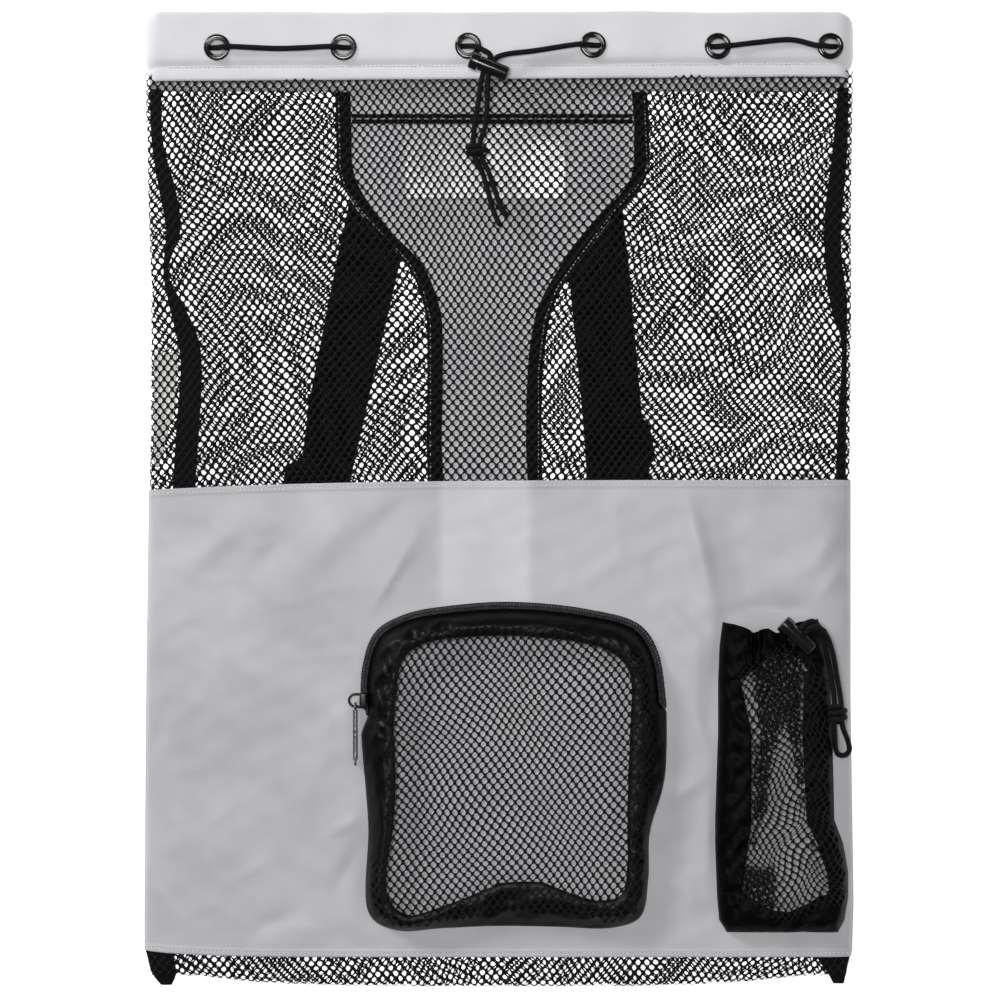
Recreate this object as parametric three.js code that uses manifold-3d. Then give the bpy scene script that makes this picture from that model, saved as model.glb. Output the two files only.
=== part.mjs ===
// Mesh backpack with a drawstring mouth, empty and lying on its back with the front up.
// X runs across the front from left to right, Y from the base to the mouth and Z up from the floor.
// The origin is on the floor under the middle of the bag. All sizes are in millimetres.

import * as THREE from "three";
import { mergeVertices } from "three/addons/utils/BufferGeometryUtils.js";
import Module from "manifold-3d";

const wasm = await Module();
wasm.setup();

// Driving dimensions of the bag body.
const BAG_LENGTH = 635;
const BAG_HALF = 231;
const CLOTH = 1;
const TAPE = 1.2;
const GAP = 0.3;
const STRAP_THICK = 4;
const ARM_GAP = 5.5;
const INSIDE = 10.5;
const EDGE_ROLL = 28;
const MOUTH_ROLL = 10;
const ROLL_CHANGE = { from: 180, to: 270 };
const BASE_CORNER = { lift: 7, reach: 196 };
const PANEL = { top: 12.7, dip: 6.5, base: -297.4, lift: 4 };
const NET_DIP = { depth: 4.7, from: 204, to: 228 };
const SEAM_INSET = 3;
const BINDING_WIDTH = 10;

// Mouth band: height of the casing, size of its cord channel and how much lower the back half hangs.
const BAND_HEIGHT = 44;
const CHANNEL = 4.2;
const BACK_DROP = 7;
const BAND_END_DROP = 2.5;
const BAND_RISE = 1 / 145;
const CHANNEL_Y = 294;

// Cord, eyelets and spring barrel locks.
const CORD_RADIUS = 1.75;
const CORD_SIDES = 8;
const EYELET = { hole: 5, barrel: 5.5, flange: 8.6, edge: 0.8, crest: 1.4, sides: 12 };
const LOCK = {
  radius: 4.7, bore: 3.5, stem: 3.15, head: 5.8, headThick: 3, headEdge: 2, flat: 0.72,
  rim: -6.7, floor: 11.6, end: 13, chamfer: 1.4, travel: 3, sides: 12,
};
const STRAND = 1.95;

// Pockets on the front panel.
const POCKET_DEPTH = 15;
const POCKET_SAG = 3;
const FLANGE = 4.6;
const FLANGE_THICK = 0.8;
const COIL_RADIUS = 1.4;
const BOTTLE_RISE = 11;
const BOTTLE_ROLL = 16;
const BOTTLE_SEAT = { least: 0.4, more: 0.7, from: 196, to: 212 };
const GATHER = 1.5;
const GATHERS = 6;
const GATHER_RUN = 30;

// Zip slider, its bridge and the puller that swings on the bridge.
const SLIDER = { x: -88.2, y: -130.3, width: 4.6, length: 10, height: 5 };
const BRIDGE = { radius: 4, wire: 0.8, leg: 2.8, steps: 6 };
const PULLER = { length: 36, thick: 2, rod: 1.3, eye: 2.9, hole: 1.5, end: 2.4 };

// Heights of the walls' lower faces in the middle of the bag, and of the side seams.
const BACK_Z = STRAP_THICK + ARM_GAP;
const BACK_TOP = BACK_Z + CLOTH;
const FRONT_Z = BACK_TOP + INSIDE;
const SEAM_Z = (BACK_TOP + FRONT_Z) / 2;
const BASE_Y = -BAG_LENGTH / 2;
const MOUTH_Y = BAG_LENGTH / 2;
const BAND_OUT = CHANNEL - GAP + CLOTH;

// Side outline of the bag from the mouth to the base.
const EDGES = [
  { y: 286, left: -231, right: 231 },
  { y: 195, left: -229, right: 230 },
  { y: 130, left: -227, right: 230 },
  { y: 13, left: -228, right: 229 },
  { y: -130, left: -230, right: 229 },
  { y: -262, left: -231, right: 231 },
  { y: -293, left: -231, right: 230 },
  { y: -317, left: -225, right: 225 },
];

// How a wall rises over its rolled edge: share of the roll's width and of its height.
const SHOULDER = [
  { reach: 0, rise: 0 },
  { reach: 0.12, rise: 0.5 },
  { reach: 0.45, rise: 0.87 },
  { reach: 1, rise: 1 },
];

// Outline of the yoke in the back, wide at the mouth and narrow down to the base.
const YOKE = [
  { y: 266, left: -107, right: 97 },
  { y: 217, left: -106, right: 99 },
  { y: 205, left: -103, right: 93 },
  { y: 188, left: -92, right: 77 },
  { y: 155, left: -61, right: 52 },
  { y: 138, left: -52, right: 40 },
  { y: 117, left: -47, right: 32 },
  { y: 84, left: -47, right: 28 },
  { y: -318, left: -47, right: 28 },
];
const YOKE_STEPS = 4;
const CROSSBAR = { low: 245.5, high: 252 };

// Shoulder straps, with the wider stitched stretch near the middle of the back.
const STRAPS = {
  left: [
    { y: 247, left: -87, right: -46 },
    { y: 157, left: -106.5, right: -64.5 },
    { y: 62, left: -125, right: -86.5 },
    { y: 28, left: -129, right: -94 },
    { y: 22, left: -140, right: -95.5 },
    { y: -20, left: -146, right: -103 },
    { y: -40, left: -143, right: -107 },
    { y: -290, left: -195, right: -157 },
  ],
  right: [
    { y: 247, left: 37, right: 75 },
    { y: 145, left: 46, right: 86 },
    { y: 53, left: 55, right: 94 },
    { y: 48, left: 55.3, right: 99 },
    { y: 29, left: 56.6, right: 102.5 },
    { y: 20, left: 57.2, right: 98.5 },
    { y: -40, left: 62, right: 101 },
    { y: -290, left: 84, right: 122 },
  ],
};
const STRAP_RAMP = 70;
const RAMP_ROWS = [200, 177, -160, -220, -245];

// Binding tape over the side seams inside the bag: its middle line and its width as it twists.
const SEAMS = {
  left: [
    { y: 267, x: -223.6, width: 7.8 },
    { y: 232, x: -222.3, width: 7.8 },
    { y: 202, x: -216, width: 11 },
    { y: 177, x: -212, width: 9.8 },
    { y: 147, x: -216.8, width: 3.4 },
    { y: 128, x: -210.6, width: 9 },
    { y: 109, x: -203.8, width: 13.7 },
    { y: 92, x: -200.5, width: 13.7 },
    { y: 39, x: -203, width: 15 },
    { y: -130, x: -215, width: 10.4 },
    { y: -280, x: -221, width: 13 },
    { y: -304, x: -219.5, width: 12 },
  ],
  right: [
    { y: 268, x: 224, width: 7.2 },
    { y: 228, x: 222, width: 9.8 },
    { y: 186, x: 217.8, width: 11.7 },
    { y: 161, x: 217.4, width: 11 },
    { y: 130, x: 221, width: 11.7 },
    { y: 104, x: 225, width: 5 },
    { y: 85, x: 225, width: 4 },
    { y: 46, x: 223.5, width: 6.5 },
    { y: -130, x: 222, width: 9 },
    { y: -280, x: 221, width: 10.4 },
    { y: -304, x: 219.5, width: 12 },
  ],
};
const LABEL = { left: -225, rightLow: -211.5, rightHigh: -208.5, low: 32, high: 96, steps: 3 };

// Soft folds of the front: middle of the crest, its direction in degrees, length, width and height.
const FOLDS = [
  { x: -64, y: -36, turn: 58, length: 26, width: 9, height: 1.8 },
  { x: -178, y: -34, turn: 18, length: 60, width: 14, height: 1.5 },
  { x: -150, y: -112, turn: -24, length: 46, width: 16, height: 1.2 },
  { x: 125, y: -36, turn: 112, length: 40, width: 11, height: 1.8 },
  { x: 178, y: -46, turn: 82, length: 30, width: 12, height: 1.5 },
  { x: -146, y: -238, turn: 28, length: 34, width: 13, height: 1.3 },
  { x: 122, y: -225, turn: 88, length: 60, width: 9, height: 1.2 },
  { x: 120, y: 150, turn: 70, length: 70, width: 18, height: 1.4 },
  { x: -150, y: 120, turn: 100, length: 80, width: 20, height: 1.4 },
];

// Outline of the zip pocket, round from the middle of its top: the lip outside the zip and the
// width of the sloping black border between the outline and the net face.
const POCKET_MIDDLE = { x: 9, y: -172 };
const POCKET = [
  { x: 10, y: -66.5, lip: FLANGE, border: 18 },
  { x: 59, y: -71.5, lip: FLANGE, border: 19 },
  { x: 91, y: -81, lip: FLANGE, border: 22 },
  { x: 103, y: -98, lip: FLANGE, border: 20 },
  { x: 108.5, y: -130, lip: FLANGE, border: 22 },
  { x: 107.5, y: -182, lip: 0, border: 21 },
  { x: 98, y: -217, lip: 0, border: 13 },
  { x: 97, y: -247, lip: 0, border: 15 },
  { x: 92, y: -271, lip: 0, border: 17 },
  { x: 75, y: -278, lip: 0, border: 19 },
  { x: 36, y: -277.5, lip: 0, border: 28 },
  { x: -2, y: -277, lip: 0, border: 26 },
  { x: -36, y: -278.5, lip: 0, border: 17 },
  { x: -67, y: -279.8, lip: 0, border: 10 },
  { x: -84, y: -270, lip: 0, border: 15 },
  { x: -85, y: -211, lip: 0, border: 15 },
  { x: -89.5, y: -153, lip: 0, border: 19 },
  { x: -89.6, y: -139, lip: FLANGE, border: 19 },
  { x: -89, y: -109.5, lip: FLANGE, border: 20 },
  { x: -80.5, y: -86, lip: FLANGE, border: 20 },
  { x: -61, y: -74.5, lip: FLANGE, border: 19 },
  { x: -28.5, y: -68.6, lip: FLANGE, border: 18 },
];
const POCKET_STEPS = 40;

// Rows of the outline where the zip and its flange start and end, counted on past the last row.
const ZIP_START = 17.57;
const FLANGE_START = 17;
const ZIP_END = 26;
const ZIP_STEPS = 24;

// Bottle pocket from its mouth to its base: outline, and the net window between the black sides.
const BOTTLE = [
  { y: -77, left: 145.6, netLeft: 158, netRight: 192, right: 207 },
  { y: -94, left: 143.3, netLeft: 157, netRight: 195, right: 212.5 },
  { y: -117, left: 142.3, netLeft: 156, netRight: 197, right: 215 },
  { y: -151, left: 142.3, netLeft: 163, netRight: 196, right: 216.5 },
  { y: -208, left: 140.4, netLeft: 163, netRight: 199, right: 217.8 },
  { y: -223, left: 140.4, netLeft: 161, netRight: 206, right: 223.5 },
  { y: -242, left: 141, netLeft: 158, netRight: 212, right: 227 },
  { y: -258, left: 141.7, netLeft: 156.5, netRight: 214, right: 227 },
  { y: -273, left: 143, netLeft: 155, netRight: 212, right: 224.5 },
  { y: -281, left: 148, netLeft: 155, netRight: 210, right: 220 },
];
const BOTTLE_TOP = -79;
const BOTTLE_HEM = -117;
const BOTTLE_BASE = -254;
const BOTTLE_END = -281;

// Finishes.
const finish = (color, roughness, metalness = 0) => ({ color, roughness, metalness });
const NET = finish("#2a2a2c", 0.7);
const GREY_CLOTH = finish("#c3c3c9", 0.55);
const BAND_CLOTH = finish("#dcdade", 0.55);
const NYLON = finish("#151516", 0.6);
const BLACK_TAPE = finish("#101011", 0.7);
const WEBBING = finish("#0e0e0f", 0.75);
const BRAID = finish("#171719", 0.8);
const PLASTIC = finish("#0d0d0e", 0.35);
const ENAMEL = finish("#141416", 0.25, 0.8);
const STEEL = finish("#8a8a8e", 0.3, 1);
const LABEL_CLOTH = finish("#e9e7e2", 0.7);

const { lerp, clamp, smoothstep, degToRad } = THREE.MathUtils;
const point = (x, y, z) => new THREE.Vector3(x, y, z);
const bag = new THREE.Group();

// Value of a table's column at a place between two of its rows.
function read(table, name, y) {
  const next = table.findIndex((row) => row.y <= y);
  if (next === 0) return table[0][name];
  if (next < 0) return table.at(-1)[name];
  const above = table[next - 1];
  const below = table[next];
  return lerp(above[name], below[name], (above.y - y) / (above.y - below.y));
}

// Evenly spaced numbers from a to b.
const steps = (a, b, count) => Array.from({ length: count + 1 }, (_, i) => lerp(a, b, i / count));

// Height share of a rolled edge at a distance from the edge, given as a share of the roll.
function shoulder(reach) {
  const next = SHOULDER.findIndex((row) => row.reach >= reach);
  if (next < 0) return 1;
  if (next === 0) return 0;
  const low = SHOULDER[next - 1];
  const high = SHOULDER[next];
  return lerp(low.rise, high.rise, (reach - low.reach) / (high.reach - low.reach));
}

// Lower edge of the bag, which draws up a little towards the corners.
const baseEdge = (x) => BASE_Y + BASE_CORNER.lift * Math.min(1, Math.abs(x) / BASE_CORNER.reach) ** 4;

// Width of the rolled side edge, which is less near the mouth.
const rollAt = (y) => lerp(EDGE_ROLL, MOUTH_ROLL, smoothstep(y, ROLL_CHANGE.from, ROLL_CHANGE.to));

// Lower edges of the mouth band, in front and at the back, and the edges of the front panel.
const bandEdge = (x) => MOUTH_Y - BAND_HEIGHT + x * BAND_RISE;
const BACK_EDGE = MOUTH_Y - BAND_HEIGHT - BACK_DROP;
const panelTop = (x) => PANEL.top - PANEL.dip * ((BAG_HALF - x) / (2 * BAG_HALF)) ** 4;
const panelBase = (x) => PANEL.base + PANEL.lift * (Math.max(0, -x) / BAG_HALF) ** 6;

// How full the bag is at a place: 0 on its edges, where front and back meet, and 1 inside them.
function fullness(x, y) {
  const left = x - read(EDGES, "left", y);
  const right = read(EDGES, "right", y) - x;
  const side = Math.min(left, right) / rollAt(y);
  const base = (y - baseEdge(x)) / EDGE_ROLL;
  return shoulder(clamp(Math.min(side, base), 0, 1));
}

// Height that the soft folds add to the front.
function foldHeight(x, y) {
  let height = 0;
  for (const fold of FOLDS) {
    const turn = degToRad(fold.turn);
    const dx = x - fold.x;
    const dy = y - fold.y;
    const along = (dx * Math.cos(turn) + dy * Math.sin(turn)) / fold.length;
    const across = (dy * Math.cos(turn) - dx * Math.sin(turn)) / fold.width;
    height += fold.height * Math.exp(-along * along - across * across);
  }
  return height;
}

// Lower faces of the front and back walls, and the upper face of the front.
function frontZ(x, y) {
  const full = fullness(x, y);
  return lerp(SEAM_Z + GAP / 2, FRONT_Z, full) + foldHeight(x, y) * full;
}
const backZ = (x, y) => lerp(SEAM_Z - GAP / 2 - CLOTH, BACK_Z, fullness(x, y));
const frontTop = (x, y) => frontZ(x, y) + CLOTH;

// Turns a geometry into one closed body of shared vertices with its faces pointing out.
function closed(geometry) {
  geometry.deleteAttribute("normal");
  geometry.deleteAttribute("uv");
  const merged = mergeVertices(geometry, 1e-3);
  const at = merged.attributes.position;
  const order = merged.index.array;
  const [a, b, c] = [point(), point(), point()];
  let volume = 0;
  for (let i = 0; i < order.length; i += 3) {
    a.fromBufferAttribute(at, order[i]);
    b.fromBufferAttribute(at, order[i + 1]);
    c.fromBufferAttribute(at, order[i + 2]);
    volume += a.dot(b.cross(c));
  }
  if (volume < 0) order.reverse();
  return merged;
}

// Solid through a row of sections. Each section is a ring that runs out along one face and back
// along the other, so that an end is closed by a ladder of faces between the two runs.
function loft(sections, ring = false) {
  const size = sections[0].length;
  const faces = [];
  const quad = (a, b, c, d) => faces.push(a, b, c, a, c, d);
  const spans = ring ? sections.length : sections.length - 1;
  for (let i = 0; i < spans; i++) {
    const here = i * size;
    const next = ((i + 1) % sections.length) * size;
    for (let k = 0; k < size; k++) {
      const turn = (k + 1) % size;
      quad(here + k, here + turn, next + turn, next + k);
    }
  }
  if (!ring) {
    const end = (sections.length - 1) * size;
    for (let k = 0; k < size / 2 - 1; k++) {
      quad(k, size - 1 - k, size - 2 - k, k + 1);
      quad(end + k, end + k + 1, end + size - 2 - k, end + size - 1 - k);
    }
  }
  const geometry = new THREE.BufferGeometry().setFromPoints(sections.flat());
  geometry.setIndex(faces);
  return closed(geometry);
}

// Cloth wall over a grid of columns and rows; place gives a point of its lower face.
function sheet(columns, rows, place, thick = CLOTH) {
  const sections = [];
  for (let i = 0; i < columns; i++) {
    const under = Array.from({ length: rows }, (_, j) => place(i, j));
    const over = under.map((p) => point(p.x, p.y, p.z + thick)).reverse();
    sections.push([...under, ...over]);
  }
  return loft(sections);
}

// Round bar along a curve through the route's points, with the given steps from point to point.
class Route extends THREE.CatmullRomCurve3 {
  getPointAt(share, target) {
    return this.getPoint(share, target);
  }
  getTangentAt(share, target) {
    return this.getTangent(share, target);
  }
}
function tube(route, radius, perSpan) {
  const circle = new THREE.Shape();
  circle.absarc(0, 0, radius, 0, 2 * Math.PI);
  const extrudePath = new Route(route, false, "centripetal");
  const options = { steps: perSpan * (route.length - 1), curveSegments: CORD_SIDES / 2, extrudePath };
  return closed(new THREE.ExtrudeGeometry(circle, options));
}

// Body of revolution about Z from a profile of radius and height.
function turned(profile, sides) {
  const points = profile.map(([radius, height]) => new THREE.Vector2(radius, height));
  const geometry = new THREE.LatheGeometry(points, sides);
  return geometry.rotateX(Math.PI / 2);
}

// Solids for cutting and joining, and back to a geometry.
function solid(geometry) {
  const shape = closed(geometry);
  const vertProperties = new Float32Array(shape.attributes.position.array);
  const triVerts = new Uint32Array(shape.index.array);
  return new wasm.Manifold(new wasm.Mesh({ numProp: 3, vertProperties, triVerts }));
}
function shaped(manifold) {
  const mesh = manifold.getMesh();
  const geometry = new THREE.BufferGeometry();
  geometry.setAttribute("position", new THREE.BufferAttribute(mesh.vertProperties, 3));
  geometry.setIndex(new THREE.BufferAttribute(mesh.triVerts, 1));
  return geometry;
}

// Adds a named piece with a material of its own.
function piece(name, geometry, look, parent = bag) {
  const mesh = new THREE.Mesh(closed(geometry), new THREE.MeshStandardMaterial(look));
  mesh.name = name;
  parent.add(mesh);
  return mesh;
}

// Columns of a wall across the whole bag, closer together on its rolled edges.
function acrossBag(y, middle) {
  const left = read(EDGES, "left", y);
  const right = read(EDGES, "right", y);
  const roll = rollAt(y);
  const rising = SHOULDER.map((row) => left + row.reach * roll);
  const falling = SHOULDER.map((row) => right - row.reach * roll).reverse();
  return [...rising, ...steps(left + roll, right - roll, middle).slice(1, -1), ...falling];
}

// Front wall between a lower and an upper line, with rows at the given shares of its height.
function frontWall(name, low, high, shares, middle, look) {
  const count = acrossBag(0, middle).length;
  const place = (i, j) => {
    const nominal = acrossBag(low(0), middle)[i];
    const y = lerp(low(nominal), high(nominal), shares[j]);
    const x = acrossBag(y, middle)[i];
    return point(x, y, frontZ(x, y));
  };
  piece(name, sheet(count, shares.length, place), look);
}
function netTop(x) {
  return bandEdge(x) - GAP - NET_DIP.depth * smoothstep(Math.abs(x), NET_DIP.from, NET_DIP.to);
}
frontWall("front_net", (x) => panelTop(x) + GAP, netTop, steps(0, 1, 8), 8, NET);
frontWall("front_panel", panelBase, panelTop, steps(0, 1, 11), 12, GREY_CLOTH);
frontWall("hem_net", baseEdge, (x) => panelBase(x) - GAP, [0, 0.16, 0.6, 1], 8, NET);

// Back wall: net from each side of the bag to the yoke, and the yoke between.
const YOKE_LEVELS = YOKE.slice(1, -1).map((row) => row.y).reverse();
const BACK_LEVELS = [-190, -90, 0, ...YOKE_LEVELS, 244, BACK_EDGE - GAP];
function backRows(x) {
  const rising = SHOULDER.map((row) => baseEdge(x) + row.reach * EDGE_ROLL);
  return [...rising, ...BACK_LEVELS];
}
function backNet(side, sign) {
  const columnsAt = (y) => {
    const edge = read(EDGES, side, y);
    const roll = -sign * rollAt(y);
    const rising = SHOULDER.map((row) => edge + row.reach * roll);
    return [...rising, ...steps(edge + roll, read(YOKE, side, y) + sign * GAP, 3).slice(1)];
  };
  const place = (i, j) => {
    const y = backRows(columnsAt(0)[i])[j];
    const x = columnsAt(y)[i];
    return point(x, y, backZ(x, y));
  };
  piece(`back_net_${side}`, sheet(columnsAt(0).length, backRows(0).length, place), NET);
}
backNet("left", -1);
backNet("right", 1);

const yokeRows = backRows(0);
const yokePlace = (i, j) => {
  const y = yokeRows[j];
  const x = lerp(read(YOKE, "left", y), read(YOKE, "right", y), i / YOKE_STEPS);
  return point(x, y, backZ(x, y));
};
piece("yoke_panel", sheet(YOKE_STEPS + 1, yokeRows.length, yokePlace), GREY_CLOTH);

// Tape along the yoke's edges and across its top, laid on the inside of the back.
const tapeRows = yokeRows.slice(2);
for (const [side, inward] of [["left", 1], ["right", -1]]) {
  const place = (i, j) => {
    const y = tapeRows[j];
    const x = read(YOKE, side, y) + inward * i * BINDING_WIDTH;
    return point(x, y, backZ(x, y) + CLOTH + GAP);
  };
  piece(`yoke_binding_${side}`, sheet(2, tapeRows.length, place, TAPE), BLACK_TAPE);
}
const crossbarPlace = (i, j) => {
  const y = lerp(CROSSBAR.low, CROSSBAR.high, j);
  const inset = BINDING_WIDTH + GAP;
  const x = lerp(read(YOKE, "left", y) + inset, read(YOKE, "right", y) - inset, i / YOKE_STEPS);
  return point(x, y, BACK_TOP + GAP);
};
piece("yoke_crossbar", sheet(YOKE_STEPS + 1, 2, crossbarPlace, TAPE), BLACK_TAPE);

// Shoulder straps: flat on the floor, with both ends rising to the back.
for (const side of ["left", "right"]) {
  const table = STRAPS[side];
  const ends = { high: table[0].y, low: table.at(-1).y };
  const rows = [...table.map((row) => row.y), ...RAMP_ROWS].sort((a, b) => b - a);
  const place = (i, j) => {
    const y = rows[j];
    const nearEnd = Math.min(ends.high - y, y - ends.low) / STRAP_RAMP;
    const lift = (ARM_GAP - GAP) * (1 - smoothstep(nearEnd, 0.1, 1));
    const x = lerp(read(table, "left", y), read(table, "right", y), i / 2);
    return point(x, y, lift);
  };
  piece(`strap_${side}`, sheet(3, rows.length, place, STRAP_THICK), WEBBING);
}

// Tape over the side seams, under the front wall and clear of the closed edge.
for (const [side, outward] of [["left", -1], ["right", 1]]) {
  const table = SEAMS[side];
  const place = (i, j) => {
    const row = table[j];
    const limit = outward * read(EDGES, side, row.y) - SEAM_INSET;
    const wanted = outward * row.x + (i - 0.5) * row.width;
    const x = outward * Math.min(wanted, limit);
    return point(x, row.y, frontZ(x, row.y) - GAP - TAPE);
  };
  piece(`seam_binding_${side}`, sheet(2, table.length, place, TAPE), BLACK_TAPE);
}
const labelPlace = (i, j) => {
  const up = j / LABEL.steps;
  const y = lerp(LABEL.low, LABEL.high, up);
  const x = lerp(LABEL.left, lerp(LABEL.rightLow, LABEL.rightHigh, up), i / LABEL.steps);
  return point(x, y, frontZ(x, y) - 2 * GAP - CLOTH);
};
piece("care_label", sheet(LABEL.steps + 1, LABEL.steps + 1, labelPlace), LABEL_CLOTH);

// Mouth band: a doubled casing round the mouth. Each station of its loop has a place and an outward
// direction, and the section's points are shares of the band's height and distances outward.
const END_RADIUS = (FRONT_Z - BACK_TOP) / 2;
const END_X = BAG_HALF - BAND_OUT - END_RADIUS;
const BAND_STEPS = { flat: 8, bend: 6 };
function bandLoop() {
  const flat = steps(-END_X, END_X, BAND_STEPS.flat).slice(0, -1);
  const bend = steps(0, Math.PI, BAND_STEPS.bend).slice(0, -1);
  const front = flat.map((x) => ({ x, turn: 0 }));
  const right = bend.map((turn) => ({ x: END_X, turn }));
  const back = flat.map((x) => ({ x: -x, turn: Math.PI }));
  const left = bend.map((turn) => ({ x: -END_X, turn: Math.PI + turn }));
  return [...front, ...right, ...back, ...left];
}
const CASING = [
  { share: 0, out: -CLOTH - GAP },
  { share: 0.84, out: -CLOTH - GAP },
  { share: 1, out: 0.6 },
  { share: 1, out: BAND_OUT - 2 },
  { share: 0.88, out: BAND_OUT },
  { share: 0.28, out: BAND_OUT },
  { share: 0.12, out: 2.4 },
  { share: 0, out: 1.5 },
];
const HOLLOW = [
  { share: 0.24, out: -GAP },
  { share: 0.82, out: -GAP },
  { share: 0.91, out: 1 },
  { share: 0.91, out: BAND_OUT - 2.6 },
  { share: 0.84, out: BAND_OUT - CLOTH },
  { share: 0.31, out: BAND_OUT - CLOTH },
  { share: 0.26, out: 2.2 },
  { share: 0.24, out: 1.2 },
];
function bandSolid(section) {
  const sections = bandLoop().map(({ x, turn }) => {
    const outX = Math.sin(turn);
    const outZ = Math.cos(turn);
    const low = lerp(BACK_EDGE, bandEdge(x), (1 + outZ) / 2);
    const high = MOUTH_Y - BAND_END_DROP * Math.abs(outX);
    return section.map(({ share, out }) => {
      const reach = END_RADIUS + out;
      return point(x + outX * reach, lerp(low, high, share), SEAM_Z + outZ * reach);
    });
  });
  return solid(loft(sections, true));
}
const BAND_FACE = FRONT_Z + BAND_OUT;
const EYELETS = [
  { x: -183, y: 293.5 },
  { x: -101, y: 293.5 },
  { x: -20, y: 294.4 },
  { x: 61, y: 295 },
  { x: 142, y: 294.2 },
  { x: 215, y: 294.2 },
];
let band = bandSolid(CASING).subtract(bandSolid(HOLLOW));
for (const { x, y } of EYELETS) {
  const hole = new THREE.CylinderGeometry(EYELET.barrel + GAP, EYELET.barrel + GAP, 3 * CLOTH, 16);
  hole.rotateX(Math.PI / 2).translate(x, y, BAND_FACE - CLOTH / 2);
  band = band.subtract(solid(hole));
}
piece("mouth_band", shaped(band), BAND_CLOTH);

// Eyelets: rolled rings through the front face of the band.
const RING = [
  [EYELET.hole, -EYELET.edge],
  [EYELET.barrel, -EYELET.edge],
  [EYELET.barrel, GAP],
  [EYELET.flange, GAP],
  [EYELET.flange, EYELET.edge],
  [EYELET.flange - 1, EYELET.crest],
  [EYELET.hole + 1, EYELET.crest],
  [EYELET.hole, EYELET.edge],
  [EYELET.hole, -EYELET.edge],
];
EYELETS.forEach(({ x, y }, i) => {
  piece(`eyelet_${i + 1}`, turned(RING, EYELET.sides), ENAMEL).position.set(x, y, BAND_FACE);
});

// Spring barrel lock: a body bored from one end with a slot across it for two strands of cord, and a
// plunger whose own slot is longer by the travel. The barrel lies along the group's X.
function cordLock(name, place, turn) {
  const group = new THREE.Group();
  group.position.copy(place);
  group.rotation.z = degToRad(turn);
  bag.add(group);
  group.updateMatrixWorld();
  const along = (profile) => turned(profile, LOCK.sides).rotateY(Math.PI / 2);
  const across = (length, shift) => {
    const slot = new THREE.BoxGeometry(length, 4 * LOCK.radius, 2 * CORD_RADIUS + 2 * GAP);
    return solid(slot.translate(shift, 0, 0));
  };
  const slotLength = 2 * (STRAND + CORD_RADIUS + GAP);
  const barrel = along([
    [0, LOCK.end],
    [LOCK.radius - LOCK.chamfer, LOCK.end],
    [LOCK.radius, LOCK.end - LOCK.chamfer],
    [LOCK.radius, LOCK.rim],
    [LOCK.bore, LOCK.rim],
    [LOCK.bore, LOCK.floor],
    [0, LOCK.floor],
  ]);
  piece(`${name}_body`, shaped(solid(barrel).subtract(across(slotLength, 0))), PLASTIC, group);

  const headFace = LOCK.rim - LOCK.travel - GAP;
  const stemEnd = LOCK.floor - LOCK.travel - GAP;
  const stem = along([[0, stemEnd], [LOCK.stem, stemEnd], [LOCK.stem, headFace - 1], [0, headFace - 1]]);
  const head = along([
    [0, headFace],
    [LOCK.head, headFace],
    [LOCK.head, headFace - LOCK.headEdge],
    [LOCK.head - LOCK.chamfer, headFace - LOCK.headThick],
    [0, headFace - LOCK.headThick],
  ]);
  const plunger = solid(head.scale(1, 1, LOCK.flat)).add(solid(stem));
  const freeSlot = across(slotLength + LOCK.travel, -LOCK.travel / 2);
  piece(`${name}_plunger`, shaped(plunger.subtract(freeSlot)), PLASTIC, group);
  return (x, y, z = 0) => group.localToWorld(point(x, y, z));
}

// Way of the cord through an eyelet: over the rim on one side, down the hole and under the band.
const EYELET_WAY = [
  { reach: 9, out: 8.9 },
  { reach: 5, out: 8.6 },
  { reach: 0.6, out: 3.9 },
  { reach: -6.8, out: 1.8 },
  { reach: -12, out: 1.8 },
];
function throughEyelet(index, outside) {
  const { x, y } = EYELETS[index];
  return EYELET_WAY.map(({ reach, out }) => point(x + outside * reach, y, FRONT_Z + out));
}

// Way of the cord round one end of the band's channel, from the front to the back.
const END_ANGLES = [15, 45, 75, 105, 135, 165];
function roundEnd(sign) {
  const reach = END_RADIUS - GAP + CHANNEL / 2;
  return END_ANGLES.map((angle) => {
    const turn = degToRad(angle);
    return point(sign * (END_X + reach * Math.sin(turn)), CHANNEL_Y, SEAM_Z + reach * Math.cos(turn));
  });
}

// Drawcord from the lock through the eyelets, round the back in the channel and to the lock again.
const mouthLock = cordLock("cord_lock", point(-6.5, 280, 32.6), -22);
const BACK_CHANNEL_Z = BACK_TOP + GAP - CHANNEL / 2;
const LAID_Z = BAND_FACE + 2.4;
const nearLock = throughEyelet(2, 1);
nearLock[0].set(-10.6, 291.2, 31.4);
nearLock[1].set(-15.2, 293.4, 29.9);
piece("drawcord", tube([
  mouthLock(-STRAND, GAP / 2),
  mouthLock(-STRAND, 7.2, -0.4),
  ...nearLock,
  ...throughEyelet(1, -1).reverse(),
  point(-142, 292.4, LAID_Z),
  ...throughEyelet(0, 1),
  ...roundEnd(-1),
  ...steps(-190, 190, 6).map((x) => point(x, CHANNEL_Y, BACK_CHANNEL_Z)),
  ...roundEnd(1).reverse(),
  ...throughEyelet(5, -1).slice(0, 4).reverse(),
  point(190, 298, LAID_Z),
  point(168, 296.4, LAID_Z),
  ...throughEyelet(4, 1),
  ...throughEyelet(3, -1).reverse(),
  point(22, 290.6, 29.4),
  point(4, 288, 31.6),
  mouthLock(STRAND, 6.6, -0.2),
  mouthLock(STRAND, GAP / 2),
], CORD_RADIUS, 1), BRAID);

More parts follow.
